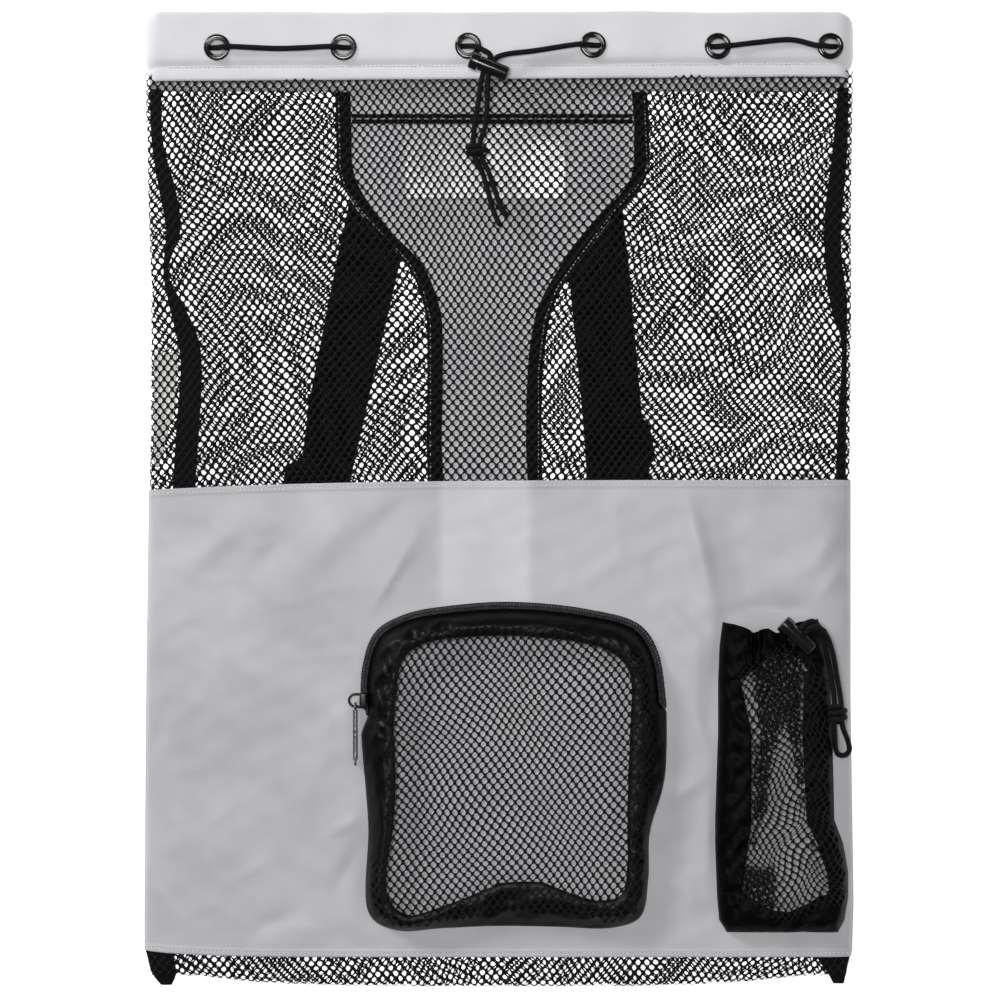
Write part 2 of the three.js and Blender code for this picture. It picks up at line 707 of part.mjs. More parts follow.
// Cord below the lock: two legs to a knot, and two tails from the knot that lie on the net.
const onFront = (x, y, lift = 0) => point(x, y, frontTop(x, y) + GAP + CORD_RADIUS + lift);
const KNOT = { x: -14.3, y: 226.5, length: 15, radius: 4.7 };
const KNOT_Z = FRONT_Z + CLOTH + GAP + KNOT.radius;
const knotTop = KNOT.y + KNOT.radius + GAP;
const knotEnd = KNOT.y - KNOT.radius - GAP;
piece("cord_leg_left", tube([
  mouthLock(-STRAND, -GAP / 2),
  mouthLock(-STRAND, -6),
  point(-13.6, 256, 30.4),
  point(-16, 241, 28.4),
  point(-16.9, knotTop, KNOT_Z),
], CORD_RADIUS, 2), BRAID);
piece("cord_leg_right", tube([
  mouthLock(STRAND, -GAP / 2),
  mouthLock(STRAND, -6),
  point(-7.6, 256, 30.4),
  point(-9, 242, 28.4),
  point(-12.2, knotTop, KNOT_Z),
], CORD_RADIUS, 2), BRAID);
piece("cord_tail_left", tube([
  point(-13.6, knotEnd, KNOT_Z),
  onFront(-11.2, 214, 1),
  onFront(-7.8, 202.5),
  onFront(-3.9, 188.2),
  onFront(0.7, 177.4),
], CORD_RADIUS, 2), BRAID);
piece("cord_tail_right", tube([
  point(-9.4, knotEnd, KNOT_Z),
  onFront(-6.4, 213.4, 1),
  onFront(-2.6, 200.5),
  onFront(1.3, 190),
  onFront(5.9, 183.3),
], CORD_RADIUS, 2), BRAID);

// Overhand knot: a lump with three rounded wraps, turned about its length. A wrap's width is a share
// of the knot's radius, and its place a share of the knot's length.
const WRAPS = [
  { wide: 0, place: -0.5 },
  { wide: 0.55, place: -0.5 },
  { wide: 0.92, place: -0.36 },
  { wide: 0.82, place: -0.17 },
  { wide: 1, place: 0 },
];
const KNOT_SIDES = 10;
function knot(name, length, radius) {
  const half = WRAPS.map(({ wide, place }) => [wide * radius, place * length]);
  const other = half.slice(0, -1).map(([wide, place]) => [wide, -place]).reverse();
  return piece(name, turned([...half, ...other], KNOT_SIDES), BRAID);
}
const mouthKnot = knot("cord_knot", KNOT.length, KNOT.radius);
mouthKnot.position.set(KNOT.x, KNOT.y, KNOT_Z);
mouthKnot.rotation.y = Math.PI / 2;

// Zip pocket: stations round its outline, each with a point of the outline and the way to the middle.
const POCKET_CURVE = new THREE.CatmullRomCurve3(POCKET.map(({ x, y }) => point(x, y, 0)), true);
function pocketStation(row) {
  const place = POCKET_CURVE.getPoint((row / POCKET.length) % 1);
  const before = POCKET[Math.floor(row) % POCKET.length];
  const after = POCKET[(Math.floor(row) + 1) % POCKET.length];
  const share = row - Math.floor(row);
  const inward = point(POCKET_MIDDLE.x, POCKET_MIDDLE.y, 0).sub(place).normalize();
  const lip = lerp(before.lip, after.lip, share);
  const border = lerp(before.border, after.border, share);
  const at = (reach, z) => place.clone().addScaledVector(inward, reach).setZ(z);
  return { at, lip, border };
}
const POCKET_Z = FRONT_Z + CLOTH + GAP;
const pocketRows = steps(0, POCKET.length, POCKET_STEPS).slice(0, -1);

// Gusset: a black wall that slopes in from the base to the edge of the net face. Each point of its
// section has a share of the way in, a share of the way up, and distances inward and down from there.
const GUSSET = [
  { reach: 0, rise: 0, inward: 0.1, down: -0.8 },
  { reach: 0.35, rise: 0.62, inward: 0, down: 0 },
  { reach: 1, rise: 1, inward: 0, down: 0 },
  { reach: 1, rise: 1, inward: 0.2, down: CLOTH },
  { reach: 0.35, rise: 0.62, inward: 0.8, down: 0.9 },
  { reach: 0, rise: 0, inward: 1.3, down: 0 },
];
piece("pocket_gusset", loft(pocketRows.map((row) => {
  const { at, lip, border } = pocketStation(row);
  return GUSSET.map(({ reach, rise, inward, down }) => {
    return at(lerp(lip, border, reach) + inward, POCKET_Z + rise * POCKET_DEPTH - down);
  });
}), true), NYLON);

// Net face of the pocket, sagging a little towards its middle.
function faceRing(share, lift) {
  return pocketRows.map((row) => {
    const { at, border } = pocketStation(row);
    const edge = at(border, 0);
    const x = lerp(POCKET_MIDDLE.x, edge.x, share);
    const y = lerp(POCKET_MIDDLE.y, edge.y, share);
    const sag = POCKET_SAG * (1 - share * share);
    return point(x, y, POCKET_Z + POCKET_DEPTH + GAP + lift - sag);
  });
}
const FACE_SHARES = [0.25, 0.65, 1];
piece("pocket_face", loft([
  ...FACE_SHARES.map((share) => faceRing(share, 0)),
  ...FACE_SHARES.map((share) => faceRing(share, CLOTH)).reverse(),
]), NET);

// Flange of the zip on the panel, and the closed coil that runs over it along the arch.
const flangeRows = steps(FLANGE_START, ZIP_END, ZIP_STEPS);
piece("pocket_flange", loft(flangeRows.map((row) => {
  const { at } = pocketStation(row);
  const [low, high] = [POCKET_Z, POCKET_Z + FLANGE_THICK];
  return [at(0, low), at(FLANGE - GAP, low), at(FLANGE - GAP, high), at(0, high)];
})), NYLON);
const COIL_Z = POCKET_Z + FLANGE_THICK + GAP + COIL_RADIUS;
const coilRoute = steps(ZIP_START, ZIP_END, ZIP_STEPS).map((row) => {
  return pocketStation(row).at(FLANGE - GAP - COIL_RADIUS, COIL_Z);
});
piece("zip_coil", tube(coilRoute, COIL_RADIUS, 1), NYLON);

// Slider at the lower left end of the coil, with a bridge of bent wire for the puller.
const SLIDER_Z = POCKET_Z + FLANGE_THICK + GAP + SLIDER.height / 2;
const HINGE = point(SLIDER.x - SLIDER.width / 2 - BRIDGE.leg, SLIDER.y, SLIDER_Z);
const block = new THREE.BoxGeometry(SLIDER.width, SLIDER.length, SLIDER.height);
block.translate(SLIDER.x, SLIDER.y, SLIDER_Z);
const bow = steps(0, Math.PI, BRIDGE.steps).map((turn) => {
  const reach = BRIDGE.radius * Math.sin(turn);
  return point(HINGE.x - reach, HINGE.y - BRIDGE.radius * Math.cos(turn), HINGE.z);
});
const sunk = (p) => p.clone().setX(SLIDER.x);
const bridge = tube([sunk(bow[0]), ...bow, sunk(bow.at(-1))], BRIDGE.wire, 1);
piece("zip_slider", shaped(solid(block).add(solid(bridge))), ENAMEL);

// Puller: a slim flat bar with an eye round the bridge and a rounded end, hanging towards the base.
const pullerShape = new THREE.Shape();
const eyeTurn = Math.asin(PULLER.rod / PULLER.eye);
const endTurn = Math.asin(PULLER.rod / PULLER.end);
pullerShape.absarc(0, 0, PULLER.eye, eyeTurn, 2 * Math.PI - eyeTurn);
pullerShape.absarc(PULLER.length, 0, PULLER.end, endTurn - Math.PI, Math.PI - endTurn);
const eyeHole = new THREE.Path().absarc(0, 0, PULLER.hole, 0, 2 * Math.PI);
pullerShape.holes.push(eyeHole);
const pullerBar = new THREE.ExtrudeGeometry(pullerShape, {
  depth: PULLER.thick,
  bevelEnabled: false,
  curveSegments: 6,
});
pullerBar.translate(0, 0, -PULLER.thick / 2).rotateX(Math.PI / 2).rotateZ(-Math.PI / 2);
const puller = piece("zip_puller", pullerBar, STEEL);
puller.position.set(HINGE.x, HINGE.y - BRIDGE.radius, HINGE.z);

// Lower face of the bottle pocket, which bulges off the panel between its two sides and its base.
function bottleZ(x, y) {
  const left = x - read(BOTTLE, "left", y);
  const right = read(BOTTLE, "right", y) - x;
  const near = Math.min(left, right, y - BOTTLE_END) / BOTTLE_ROLL;
  const seat = BOTTLE_SEAT.least + BOTTLE_SEAT.more * smoothstep(x, BOTTLE_SEAT.from, BOTTLE_SEAT.to);
  return frontTop(x, y) + seat + BOTTLE_RISE * shoulder(clamp(near, 0, 1));
}

// Gathers along the hem, deepest at the mouth.
const gather = (share, y) => {
  const depth = GATHER * smoothstep(y, BOTTLE_HEM - GATHER_RUN, BOTTLE_TOP);
  return depth * (1 + Math.sin(2 * Math.PI * GATHERS * share));
};

// Part of the bottle pocket between two columns of its table, with rows at the given heights.
function bottleWall(name, from, to, columns, rows, look) {
  const place = (i, j) => {
    const y = rows[j];
    const x = lerp(from(y), to(y), i / columns);
    const left = read(BOTTLE, "left", y);
    const share = (x - left) / (read(BOTTLE, "right", y) - left);
    const edge = smoothstep(Math.min(share, 1 - share), 0, 0.1);
    return point(x, y, bottleZ(x, y) + edge * gather(share, y));
  };
  piece(name, sheet(columns + 1, rows.length, place), look);
}
const bottle = (name, shift = 0) => (y) => read(BOTTLE, name, y) + shift;
const sideRows = steps(BOTTLE_BASE + GAP, BOTTLE_HEM, 7);
bottleWall("bottle_side_left", bottle("left"), bottle("netLeft"), 4, sideRows, NYLON);
bottleWall("bottle_net", bottle("netLeft", GAP), bottle("netRight", -GAP), 5, sideRows, NET);
bottleWall("bottle_side_right", bottle("netRight"), bottle("right"), 4, sideRows, NYLON);
const baseRows = [BOTTLE_END, BOTTLE_END + 2.4, -272.5, -265, BOTTLE_BASE];
bottleWall("bottle_base", bottle("left"), bottle("right"), 10, baseRows, NYLON);
const hemRows = steps(BOTTLE_HEM + GAP, BOTTLE_TOP, 3);
bottleWall("bottle_hem", bottle("left"), bottle("right"), 22, hemRows, NYLON);

// Second lock on the hem, with a doubled cord over the pocket's shoulder to a knot and a loop.
const BOTTLE_LOCK = point(192, -88.2, 43.2);
const bottleLock = cordLock("bottle_lock", BOTTLE_LOCK, -43.8);
const BOTTLE_KNOT = point(219, -138.8, 32.2);
const BOTTLE_KNOT_SIZE = { length: 17, radius: 7 };
const bottleKnotTop = BOTTLE_KNOT.y + BOTTLE_KNOT_SIZE.length / 2 + 2 * GAP;
piece("bottle_leg_inner", tube([
  bottleLock(-STRAND, -6),
  bottleLock(-STRAND, 6),
  point(199, -78, 43),
  point(206, -82, 41),
  point(211, -96, 37),
  point(215, -116, 34),
  point(217, bottleKnotTop, BOTTLE_KNOT.z),
], CORD_RADIUS, 2), BRAID);
piece("bottle_leg_outer", tube([
  bottleLock(STRAND, -6),
  bottleLock(STRAND, 6),
  point(202, -81.5, 46.2),
  point(209.4, -85, 43.4),
  point(215, -97, 38),
  point(219.2, -116, 34),
  point(221, bottleKnotTop, BOTTLE_KNOT.z),
], CORD_RADIUS, 2), BRAID);
const pocketKnot = knot("bottle_knot", BOTTLE_KNOT_SIZE.length, BOTTLE_KNOT_SIZE.radius);
pocketKnot.position.copy(BOTTLE_KNOT);
pocketKnot.rotation.x = Math.PI / 2;
const bottleKnotEnd = BOTTLE_KNOT.y - BOTTLE_KNOT_SIZE.length / 2 - 3 * GAP;
piece("bottle_loop", tube([
  point(217, bottleKnotEnd, BOTTLE_KNOT.z),
  point(217.8, -151.4, 30.6),
  point(221.2, -158, 27),
  point(225, -167.4, 24),
  point(227.6, -158, 26.4),
  point(222.2, -152, 30.8),
  point(221.2, bottleKnotEnd, BOTTLE_KNOT.z),
], CORD_RADIUS, 2), BRAID);

export default bag;
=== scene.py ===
# %% [markdown]
# # Mesh backpack with a drawstring mouth
# The bag is a flat sack of open net with cloth panels, and it lies empty on its back. Its solids are
# already packed as a fixed frame, one for each piece, so every piece made here goes where its solid is.
# Net, cloth and cord are too fine and soft for plain solids, so they are made anew and replace them. Sizes
# are in millimetres where no comment says otherwise, and meshes are made in metres.

# %% Load the frame
import math

import bpy
import numpy as np
from mathutils import Matrix, Vector


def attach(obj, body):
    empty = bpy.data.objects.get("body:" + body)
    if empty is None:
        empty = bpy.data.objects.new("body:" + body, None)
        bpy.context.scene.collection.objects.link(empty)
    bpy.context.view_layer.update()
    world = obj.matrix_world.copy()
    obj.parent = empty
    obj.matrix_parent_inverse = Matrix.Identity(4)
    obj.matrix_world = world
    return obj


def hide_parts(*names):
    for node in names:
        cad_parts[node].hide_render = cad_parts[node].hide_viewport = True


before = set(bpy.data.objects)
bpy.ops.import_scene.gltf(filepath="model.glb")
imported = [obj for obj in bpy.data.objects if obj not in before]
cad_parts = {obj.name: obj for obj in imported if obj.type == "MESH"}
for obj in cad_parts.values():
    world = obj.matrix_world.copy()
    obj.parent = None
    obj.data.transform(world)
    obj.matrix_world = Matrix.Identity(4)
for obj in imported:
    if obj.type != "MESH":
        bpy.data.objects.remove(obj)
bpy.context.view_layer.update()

# %% [markdown]
# ## Camera
# The photograph looks straight down on the bag, so the camera does too. A camera without perspective would
# give the same outline, but a long lens also shows a little of the sides of what stands up, as a real one
# does.

# %% Camera
VIEW_WIDTH = 650.0  # across the picture, at the height of the bag's front
LENS, SENSOR = 120.0, 36.0
BAG_TOP = 22.0
AIM = (0.65, -0.3)
CLIP_END = 20.0  # metres

camera = bpy.data.objects.new("camera", bpy.data.cameras.new("camera"))
bpy.context.scene.collection.objects.link(camera)
camera.data.lens = LENS
camera.data.sensor_width = SENSOR
camera.data.clip_end = CLIP_END
camera.location = (AIM[0] / 1000, AIM[1] / 1000, (BAG_TOP + VIEW_WIDTH * LENS / SENSOR) / 1000)
bpy.context.scene.camera = camera
print("camera height:", round(camera.location.z, 3), "m")

# %% [markdown]
# ## Light
# The studio light is soft and comes from three square lamps. A key lamp low at the upper left draws the
# folds, a lamp above lights the bag through its net, and a weak one fills the shadows. A bright sky would
# be simpler, but it would lift the blacks all over, so it is kept dim.

# %% Light
SKY_STRENGTH = 0.13


def area_light(name, place, power, size):
    """A square lamp aimed at the bag, with its place and size in metres and its power in watts."""
    lamp = bpy.data.objects.new(name, bpy.data.lights.new(name, "AREA"))
    bpy.context.scene.collection.objects.link(lamp)
    lamp.data.energy = power
    lamp.data.size = size
    lamp.location = place
    lamp.rotation_euler = (-Vector(place)).to_track_quat("-Z", "Y").to_euler()


area_light("key", (-1.9, 1.5, 1.25), 38, 0.6)
area_light("fill", (1.7, -0.6, 1.9), 7, 1.2)
area_light("top", (-0.25, 0.3, 2.6), 31, 0.5)
world = bpy.data.worlds.new("studio")
bpy.context.scene.world = world
world.use_nodes = True
world.node_tree.nodes["Background"].inputs["Color"].default_value = (1, 1, 1, 1)
world.node_tree.nodes["Background"].inputs["Strength"].default_value = SKY_STRENGTH
bpy.context.scene.view_settings.view_transform = "Standard"

# %% [markdown]
# ## Finishes
# Each finish is built from nodes on Object coordinates, so its pattern has a real size. A picture of cloth
# would be quicker, but it would blur close up and need its own map on every piece. One function adds a
# node, and one turns a screen colour into the linear value that a shader reads.

# %% Node helpers
def linear(code):
    """An sRGB hex colour as linear RGBA."""
    parts = [int(code[i : i + 2], 16) / 255 for i in (1, 3, 5)]
    return [c / 12.92 if c <= 0.04045 else ((c + 0.055) / 1.055) ** 2.4 for c in parts] + [1.0]


def node(tree, kind, inputs, **settings):
    """Adds one node. An input is set to a value, or linked when it is another node's output."""
    made = tree.nodes.new(kind)
    for name, value in settings.items():
        setattr(made, name, value)
    for name, value in inputs.items():
        if isinstance(value, bpy.types.NodeSocket):
            tree.links.new(value, made.inputs[name])
        else:
            made.inputs[name].default_value = value
    return made


def new_finish(name):
    """An empty material and its node tree."""
    material = bpy.data.materials.new(name)
    material.use_nodes = True
    material.node_tree.nodes.clear()
    return material, material.node_tree


WAVE = 2 * math.pi / 20 * 1000  # a wave texture of scale WAVE / pitch repeats every pitch millimetres
print("half grey in linear light:", round(linear("#808080")[0], 3))

# %% [markdown]
# ### Cloths
# The panels are polyester cloth with a thin coating: smooth, slightly shiny and finely woven. The pockets
# are thin black nylon, which creases sharply. All of them differ in numbers alone, so one function makes
# them: two crossed waves are the threads, and two noises are the clouds of tone and the creases. Threads
# are about 0.3 mm apart, too fine for a picture of this size, so the weave is drawn two or three times as
# coarse.

# %% Woven cloths
CLOUD, CREASE = 45.0, 9.0  # size of a cloud of tone and of a fine crease
CLOTH_RELIEF = 0.001  # metres, for a crease of height 1


def woven_cloth(name, dark, light, pitch, weave, crease, gloss, painted_light=None, **sockets):
    """Plain weave with cloudy tone and fine creases; the optional gain is painted light, which brightens it
    where its attribute is 1.
    """
    material, tree = new_finish(name)
    where = node(tree, "ShaderNodeTexCoord", {}).outputs["Object"]
    warp, weft = (node(tree, "ShaderNodeTexWave", {"Vector": where, "Scale": WAVE / pitch},
                       bands_direction=way).outputs["Fac"] for way in "XY")
    threads = node(tree, "ShaderNodeMath", {0: warp, 1: weft}, operation="MAXIMUM").outputs["Value"]
    clouds, creases = (
        node(tree, "ShaderNodeTexNoise",
             {"Vector": where, "Scale": 1000 / size, "Detail": detail}).outputs["Fac"]
        for size, detail in ((CLOUD, 3), (CREASE, 5)))
    woven = node(tree, "ShaderNodeMath", {0: threads, 1: weave}, operation="MULTIPLY").outputs["Value"]
    height = node(tree, "ShaderNodeMath", {0: creases, 1: crease, 2: woven},
                  operation="MULTIPLY_ADD").outputs["Value"]
    patches = node(tree, "ShaderNodeMapRange",
                   {"Value": clouds, "From Min": 0.3, "From Max": 0.7}).outputs["Result"]
    colour = node(tree, "ShaderNodeMix", {0: patches, 6: linear(dark), 7: linear(light)},
                  data_type="RGBA").outputs[2]
    # Painted light: where the mesh's attribute is 1, the colour is made brighter by the gain
    if painted_light:
        pale = node(tree, "ShaderNodeAttribute", {}, attribute_name="painted_light").outputs["Fac"]
        gain = node(tree, "ShaderNodeMapRange",
                    {"Value": pale, "To Min": 1.0, "To Max": painted_light}).outputs["Result"]
        colour = node(tree, "ShaderNodeHueSaturation", {"Color": colour, "Value": gain}).outputs["Color"]
    rough = node(tree, "ShaderNodeMapRange",
                 {"Value": creases, "To Min": gloss[0], "To Max": gloss[1]}).outputs["Result"]
    bump = node(tree, "ShaderNodeBump",
                {"Height": height, "Distance": CLOTH_RELIEF, "Strength": 0.5}).outputs["Normal"]
    constants = {socket.replace("_", " "): value for socket, value in sockets.items()}
    shader = node(tree, "ShaderNodeBsdfPrincipled",
                  {"Base Color": colour, "Roughness": rough, "Normal": bump, **constants})
    node(tree, "ShaderNodeOutputMaterial", {"Surface": shader.outputs["BSDF"]})
    return material


COATED = {"pitch": 0.9, "weave": 0.05, "crease": 0.35, "gloss": (0.42, 0.6)}
TAFFETA = {"pitch": 0.7, "weave": 0.06, "crease": 1.3}
# Coated polyester: even grey with a soft, wide shine; painted light makes it paler over the yoke and in the
# zip pocket
PANEL_CLOTH = woven_cloth("coated_polyester", "#b4b4b9", "#c3c2c6", painted_light=1.5, Sheen_Weight=0.1, **COATED)
# The same cloth doubled: nearly white, because nothing dark shows through it
BAND_CLOTH = woven_cloth("coated_polyester_pale", "#d6d4d8", "#e0dee2", Sheen_Weight=0.1, **COATED)
# Thin calendered nylon: black, with a narrow shine on each crease
NYLON = woven_cloth("black_nylon_taffeta", "#040405", "#08080a", gloss=(0.28, 0.45), Specular_IOR_Level=0.16,
                    **TAFFETA)
# The same nylon for the bottle pocket: a painted shade makes it a deeper black, and it shines less
SHADED_NYLON = woven_cloth("black_nylon_painted_shade", "#020203", "#040405", gloss=(0.4, 0.58),
                          Specular_IOR_Level=0.06, **TAFFETA)
# Coated polyester again, for the yoke: painted much paler than on the panel, a painted light that offsets the
# net's shadow
YOKE_CLOTH = woven_cloth("coated_polyester_back", "#e4e3e8", "#f0eff2", 0.9, 0.05, 0.3, (0.45, 0.6))
# Satin: warm white and smooth
LABEL_CLOTH = woven_cloth("satin_label", "#dddbd6", "#e9e7e2", 0.6, 0.05, 0.1, (0.35, 0.5))
print("cloths:", [c.name for c in (PANEL_CLOTH, BAND_CLOTH, NYLON, SHADED_NYLON, YOKE_CLOTH, LABEL_CLOTH)])

# %% [markdown]
# ### Net, tapes and cords
# The net is knitted from black yarn, dull with a soft fibre sheen. Binding tape and strap webbing are woven
# with ribs across them, and the cord is braided. Modelled fibres would be far too many faces, so ribs and
# fibres are bumps on a plain surface. The fibres are drawn at 0.8 mm, coarser than real ones, because they
# would not show.

# %% Yarn finishes
FIBRE = 0.8


def ribbed_yarn(name, dark, light, pitch, direction, depth):
    """Dull yarn with ribs of a pitch and a depth in millimetres across one direction, with painted shade in
    their grooves.
    """
    material, tree = new_finish(name)
    where = node(tree, "ShaderNodeTexCoord", {}).outputs["Object"]
    ribs = node(tree, "ShaderNodeTexWave", {"Vector": where, "Scale": WAVE / pitch},
                bands_direction=direction).outputs["Fac"]
    fibres = node(tree, "ShaderNodeTexNoise",
                  {"Vector": where, "Scale": 1000 / FIBRE, "Detail": 2}).outputs["Fac"]
    height = node(tree, "ShaderNodeMath", {0: fibres, 1: 0.5, 2: ribs},
                  operation="MULTIPLY_ADD").outputs["Value"]
    # Painted shade: the colour follows the ribs' bump, darker in their grooves and paler on their crests
    crests = node(tree, "ShaderNodeMath", {0: ribs, 1: fibres}, operation="MULTIPLY").outputs["Value"]
    patches = node(tree, "ShaderNodeMapRange",
                   {"Value": crests, "From Min": 0.1, "From Max": 0.6}).outputs["Result"]
    colour = node(tree, "ShaderNodeMix", {0: patches, 6: linear(dark), 7: linear(light)},
                  data_type="RGBA").outputs[2]
    bump = node(tree, "ShaderNodeBump",
                {"Height": height, "Distance": depth / 1000, "Strength": 0.6}).outputs["Normal"]
    shader = node(tree, "ShaderNodeBsdfPrincipled", {"Base Color": colour, "Normal": bump, "Roughness": 0.72,
                                                     "Sheen Weight": 0.02, "Specular IOR Level": 0.12})
    node(tree, "ShaderNodeOutputMaterial", {"Surface": shader.outputs["BSDF"]})
    return material


# Knitted polyester: near black and dull, with slanting stitches along each strand
NET_YARN = ribbed_yarn("knitted_net_yarn", "#0e0e0f", "#202022", 0.6, "DIAGONAL", 0.08)
# Grosgrain: deep black with fine ribs across it
TAPE = ribbed_yarn("grosgrain_tape", "#060607", "#0d0d0e", 1.1, "Y", 0.15)
# Flat webbing: deep black with coarse ribs across it
WEBBING = ribbed_yarn("strap_webbing", "#050506", "#0b0b0c", 1.6, "Y", 0.3)
# Braided polyester: near black, with slanting strands that catch a little light
BRAID = ribbed_yarn("braided_cord", "#0d0d0e", "#1d1d1f", 0.9, "DIAGONAL", 0.12)
# Sewing thread: nearly white dashes without shine
PALE_THREAD = ribbed_yarn("pale_sewing_thread", "#dcdbdf", "#efeef1", 0.4, "DIAGONAL", 0.05)
print("yarns:", [yarn.name for yarn in (NET_YARN, TAPE, WEBBING, BRAID, PALE_THREAD)])

# %% [markdown]
# ### Hard finishes
# The locks are moulded acetal with a semi-gloss skin. The eyelets and the slider are painted metal, the
# puller is plated steel with its paint worn through, and a patch of smooth film is bonded to the yoke. Each
# could have a tree of its own, but all are a smooth skin with a faint grain, so numbers tell them apart.

# %% Moulded and metal finishes
SKIN_RELIEF = 0.00003  # metres


def moulded(name, dark, light, grain, gloss, **sockets):
    """Smooth skin with a faint grain in millimetres that changes its tone and gloss."""
    material, tree = new_finish(name)
    where = node(tree, "ShaderNodeTexCoord", {}).outputs["Object"]
    specks = node(tree, "ShaderNodeTexNoise",
                  {"Vector": where, "Scale": 1000 / grain, "Detail": 4}).outputs["Fac"]
    patches = node(tree, "ShaderNodeMapRange",
                   {"Value": specks, "From Min": 0.3, "From Max": 0.7}).outputs["Result"]
    colour = node(tree, "ShaderNodeMix", {0: patches, 6: linear(dark), 7: linear(light)},
                  data_type="RGBA").outputs[2]
    rough = node(tree, "ShaderNodeMapRange",
                 {"Value": specks, "To Min": gloss[0], "To Max": gloss[1]}).outputs["Result"]
    bump = node(tree, "ShaderNodeBump",
                {"Height": specks, "Distance": SKIN_RELIEF, "Strength": 0.4}).outputs["Normal"]
    constants = {socket.replace("_", " "): value for socket, value in sockets.items()}
    shader = node(tree, "ShaderNodeBsdfPrincipled",
                  {"Base Color": colour, "Roughness": rough, "Normal": bump, **constants})
    node(tree, "ShaderNodeOutputMaterial", {"Surface": shader.outputs["BSDF"]})
    return material


# Moulded acetal: black, with small soft highlights
LOCK_PLASTIC = moulded("moulded_acetal", "#070708", "#0c0c0d", 1.5, (0.16, 0.28))
# Enamelled brass: black and glossy, with a sharp highlight round the rolled rim
EYELET_PAINT = moulded("black_enamelled_brass", "#040405", "#09090a", 2.0, (0.06, 0.14), Coat_Weight=0.25)
# Painted zinc: black and duller than enamel
SLIDER_PAINT = moulded("black_painted_zinc", "#08080a", "#121214", 1.0, (0.25, 0.45), Specular_IOR_Level=0.3)
# Worn plated steel: bright grey metal with darker spots
PULLER_STEEL = moulded("worn_plated_steel", "#4a4a4c", "#a5a5a8", 0.9, (0.2, 0.45), Metallic=1.0)
# Bonded film: white and smooth, so it mirrors the lamp above
PATCH_FILM = moulded("white_bonded_film", "#f0f0f0", "#fafafa", 3.0, (0.18, 0.26), Specular_IOR_Level=0.75)
# Nylon coil: dark grey, with a glint on each turn
ZIP_NYLON = moulded("nylon_coil", "#303034", "#56565c", 0.8, (0.2, 0.35))
print("hard finishes:", [skin.name for skin in (LOCK_PLASTIC, EYELET_PAINT, SLIDER_PAINT, PULLER_STEEL,
                                                PATCH_FILM, ZIP_NYLON)])

# %% [markdown]
# ## Floor
# The floor is a sheet of nearly white paper under the bag. A curved backdrop would hide the horizon, but
# the camera looks straight down and never sees one, so a large plane does. It glows a little, because a
# real floor under a net is lit from all around, and a few light bounces through two layers of net would
# leave it grey.

# %% Floor
FLOOR_SIZE, FLOOR_Z = 8.0, -0.0003  # metres


def primitive(add, **sizes):
    """A new primitive that is alone in the selection."""
    bpy.ops.object.select_all(action="DESELECT")
    add(**sizes)
    return bpy.context.object


floor = primitive(bpy.ops.mesh.primitive_plane_add, size=FLOOR_SIZE, location=(0, 0, FLOOR_Z))
floor.name = "floor"
# White paper: bright and quite dull
floor_paint, floor_tree = new_finish("white_paper")
paper = node(floor_tree, "ShaderNodeBsdfPrincipled",
             {"Base Color": linear("#f3f3f3"), "Roughness": 0.9, "Emission Color": linear("#ffffff"),
              "Emission Strength": 0.85})
node(floor_tree, "ShaderNodeOutputMaterial", {"Surface": paper.outputs["BSDF"]})
floor.data.materials.append(floor_paint)
print("floor at z", floor.location.z)

# %% [markdown]
# ## Ways to make a piece
# Soft pieces are worked out as arrays of points, because their folds follow formulas, and hard ones are
# modelled from primitives further down. These helpers turn points into meshes and act on one piece at a
# time, since a Blender operator acts on all that is selected.

# %% Mesh helpers
def pick(piece):
    """Makes a piece the active one and the only one selected."""
    bpy.ops.object.select_all(action="DESELECT")
    bpy.context.view_layer.objects.active = piece
    piece.select_set(True)


def mesh_piece(name, points, faces):
    """A smooth mesh from points in millimetres and lists of their numbers."""
    mesh = bpy.data.meshes.new(name)
    mesh.from_pydata((np.asarray(points, float) / 1000).tolist(), [], faces)
    mesh.shade_smooth()
    piece = bpy.data.objects.new(name, mesh)
    bpy.context.scene.collection.objects.link(piece)
    return piece


def quads(columns, rows, around=False, ring=False):
    """Faces of a grid of columns by rows, closed across its rows or round its columns."""
    i, j = np.meshgrid(np.arange(columns if ring else columns - 1), np.arange(rows if around else rows - 1),
                       indexing="ij")
    i, j = i.ravel(), j.ravel()
    i2, j2 = (i + 1) % columns, (j + 1) % rows
    return np.c_[i * rows + j, i2 * rows + j, i2 * rows + j2, i * rows + j2].tolist()


def apply_modifier(piece, kind, **settings):
    """Adds a modifier and applies it."""
    pick(piece)
    made = piece.modifiers.new(kind.lower(), kind)
    for name, value in settings.items():
        setattr(made, name, value)
    bpy.ops.object.modifier_apply(modifier=made.name)


def face_out(piece):
    """Turns the faces of a closed mesh outwards."""
    pick(piece)
    bpy.ops.object.mode_set(mode="EDIT")
    bpy.ops.mesh.select_all(action="SELECT")
    bpy.ops.mesh.normals_make_consistent(inside=False)
    bpy.ops.object.mode_set(mode="OBJECT")


print("faces of a grid of 4 by 3 points:", len(quads(4, 3)))

# %% [markdown]
# Cloth is a grid of points on its upper face, and Solidify gives it its thickness. A tape, strap or cord is
# a row of rings that are joined to a closed solid. Dress then gives a piece its finish, the body that it
# moves with and the solids that it stands for.

# %% Cloth, lofts and finishes
def cloth(name, grid, thick):
    """Cloth from a grid of points on its upper face."""
    columns, rows, _ = grid.shape
    piece = mesh_piece(name, grid.reshape(-1, 3), quads(columns, rows))
    apply_modifier(piece, "SOLIDIFY", thickness=thick / 1000, offset=-1.0)
    return piece


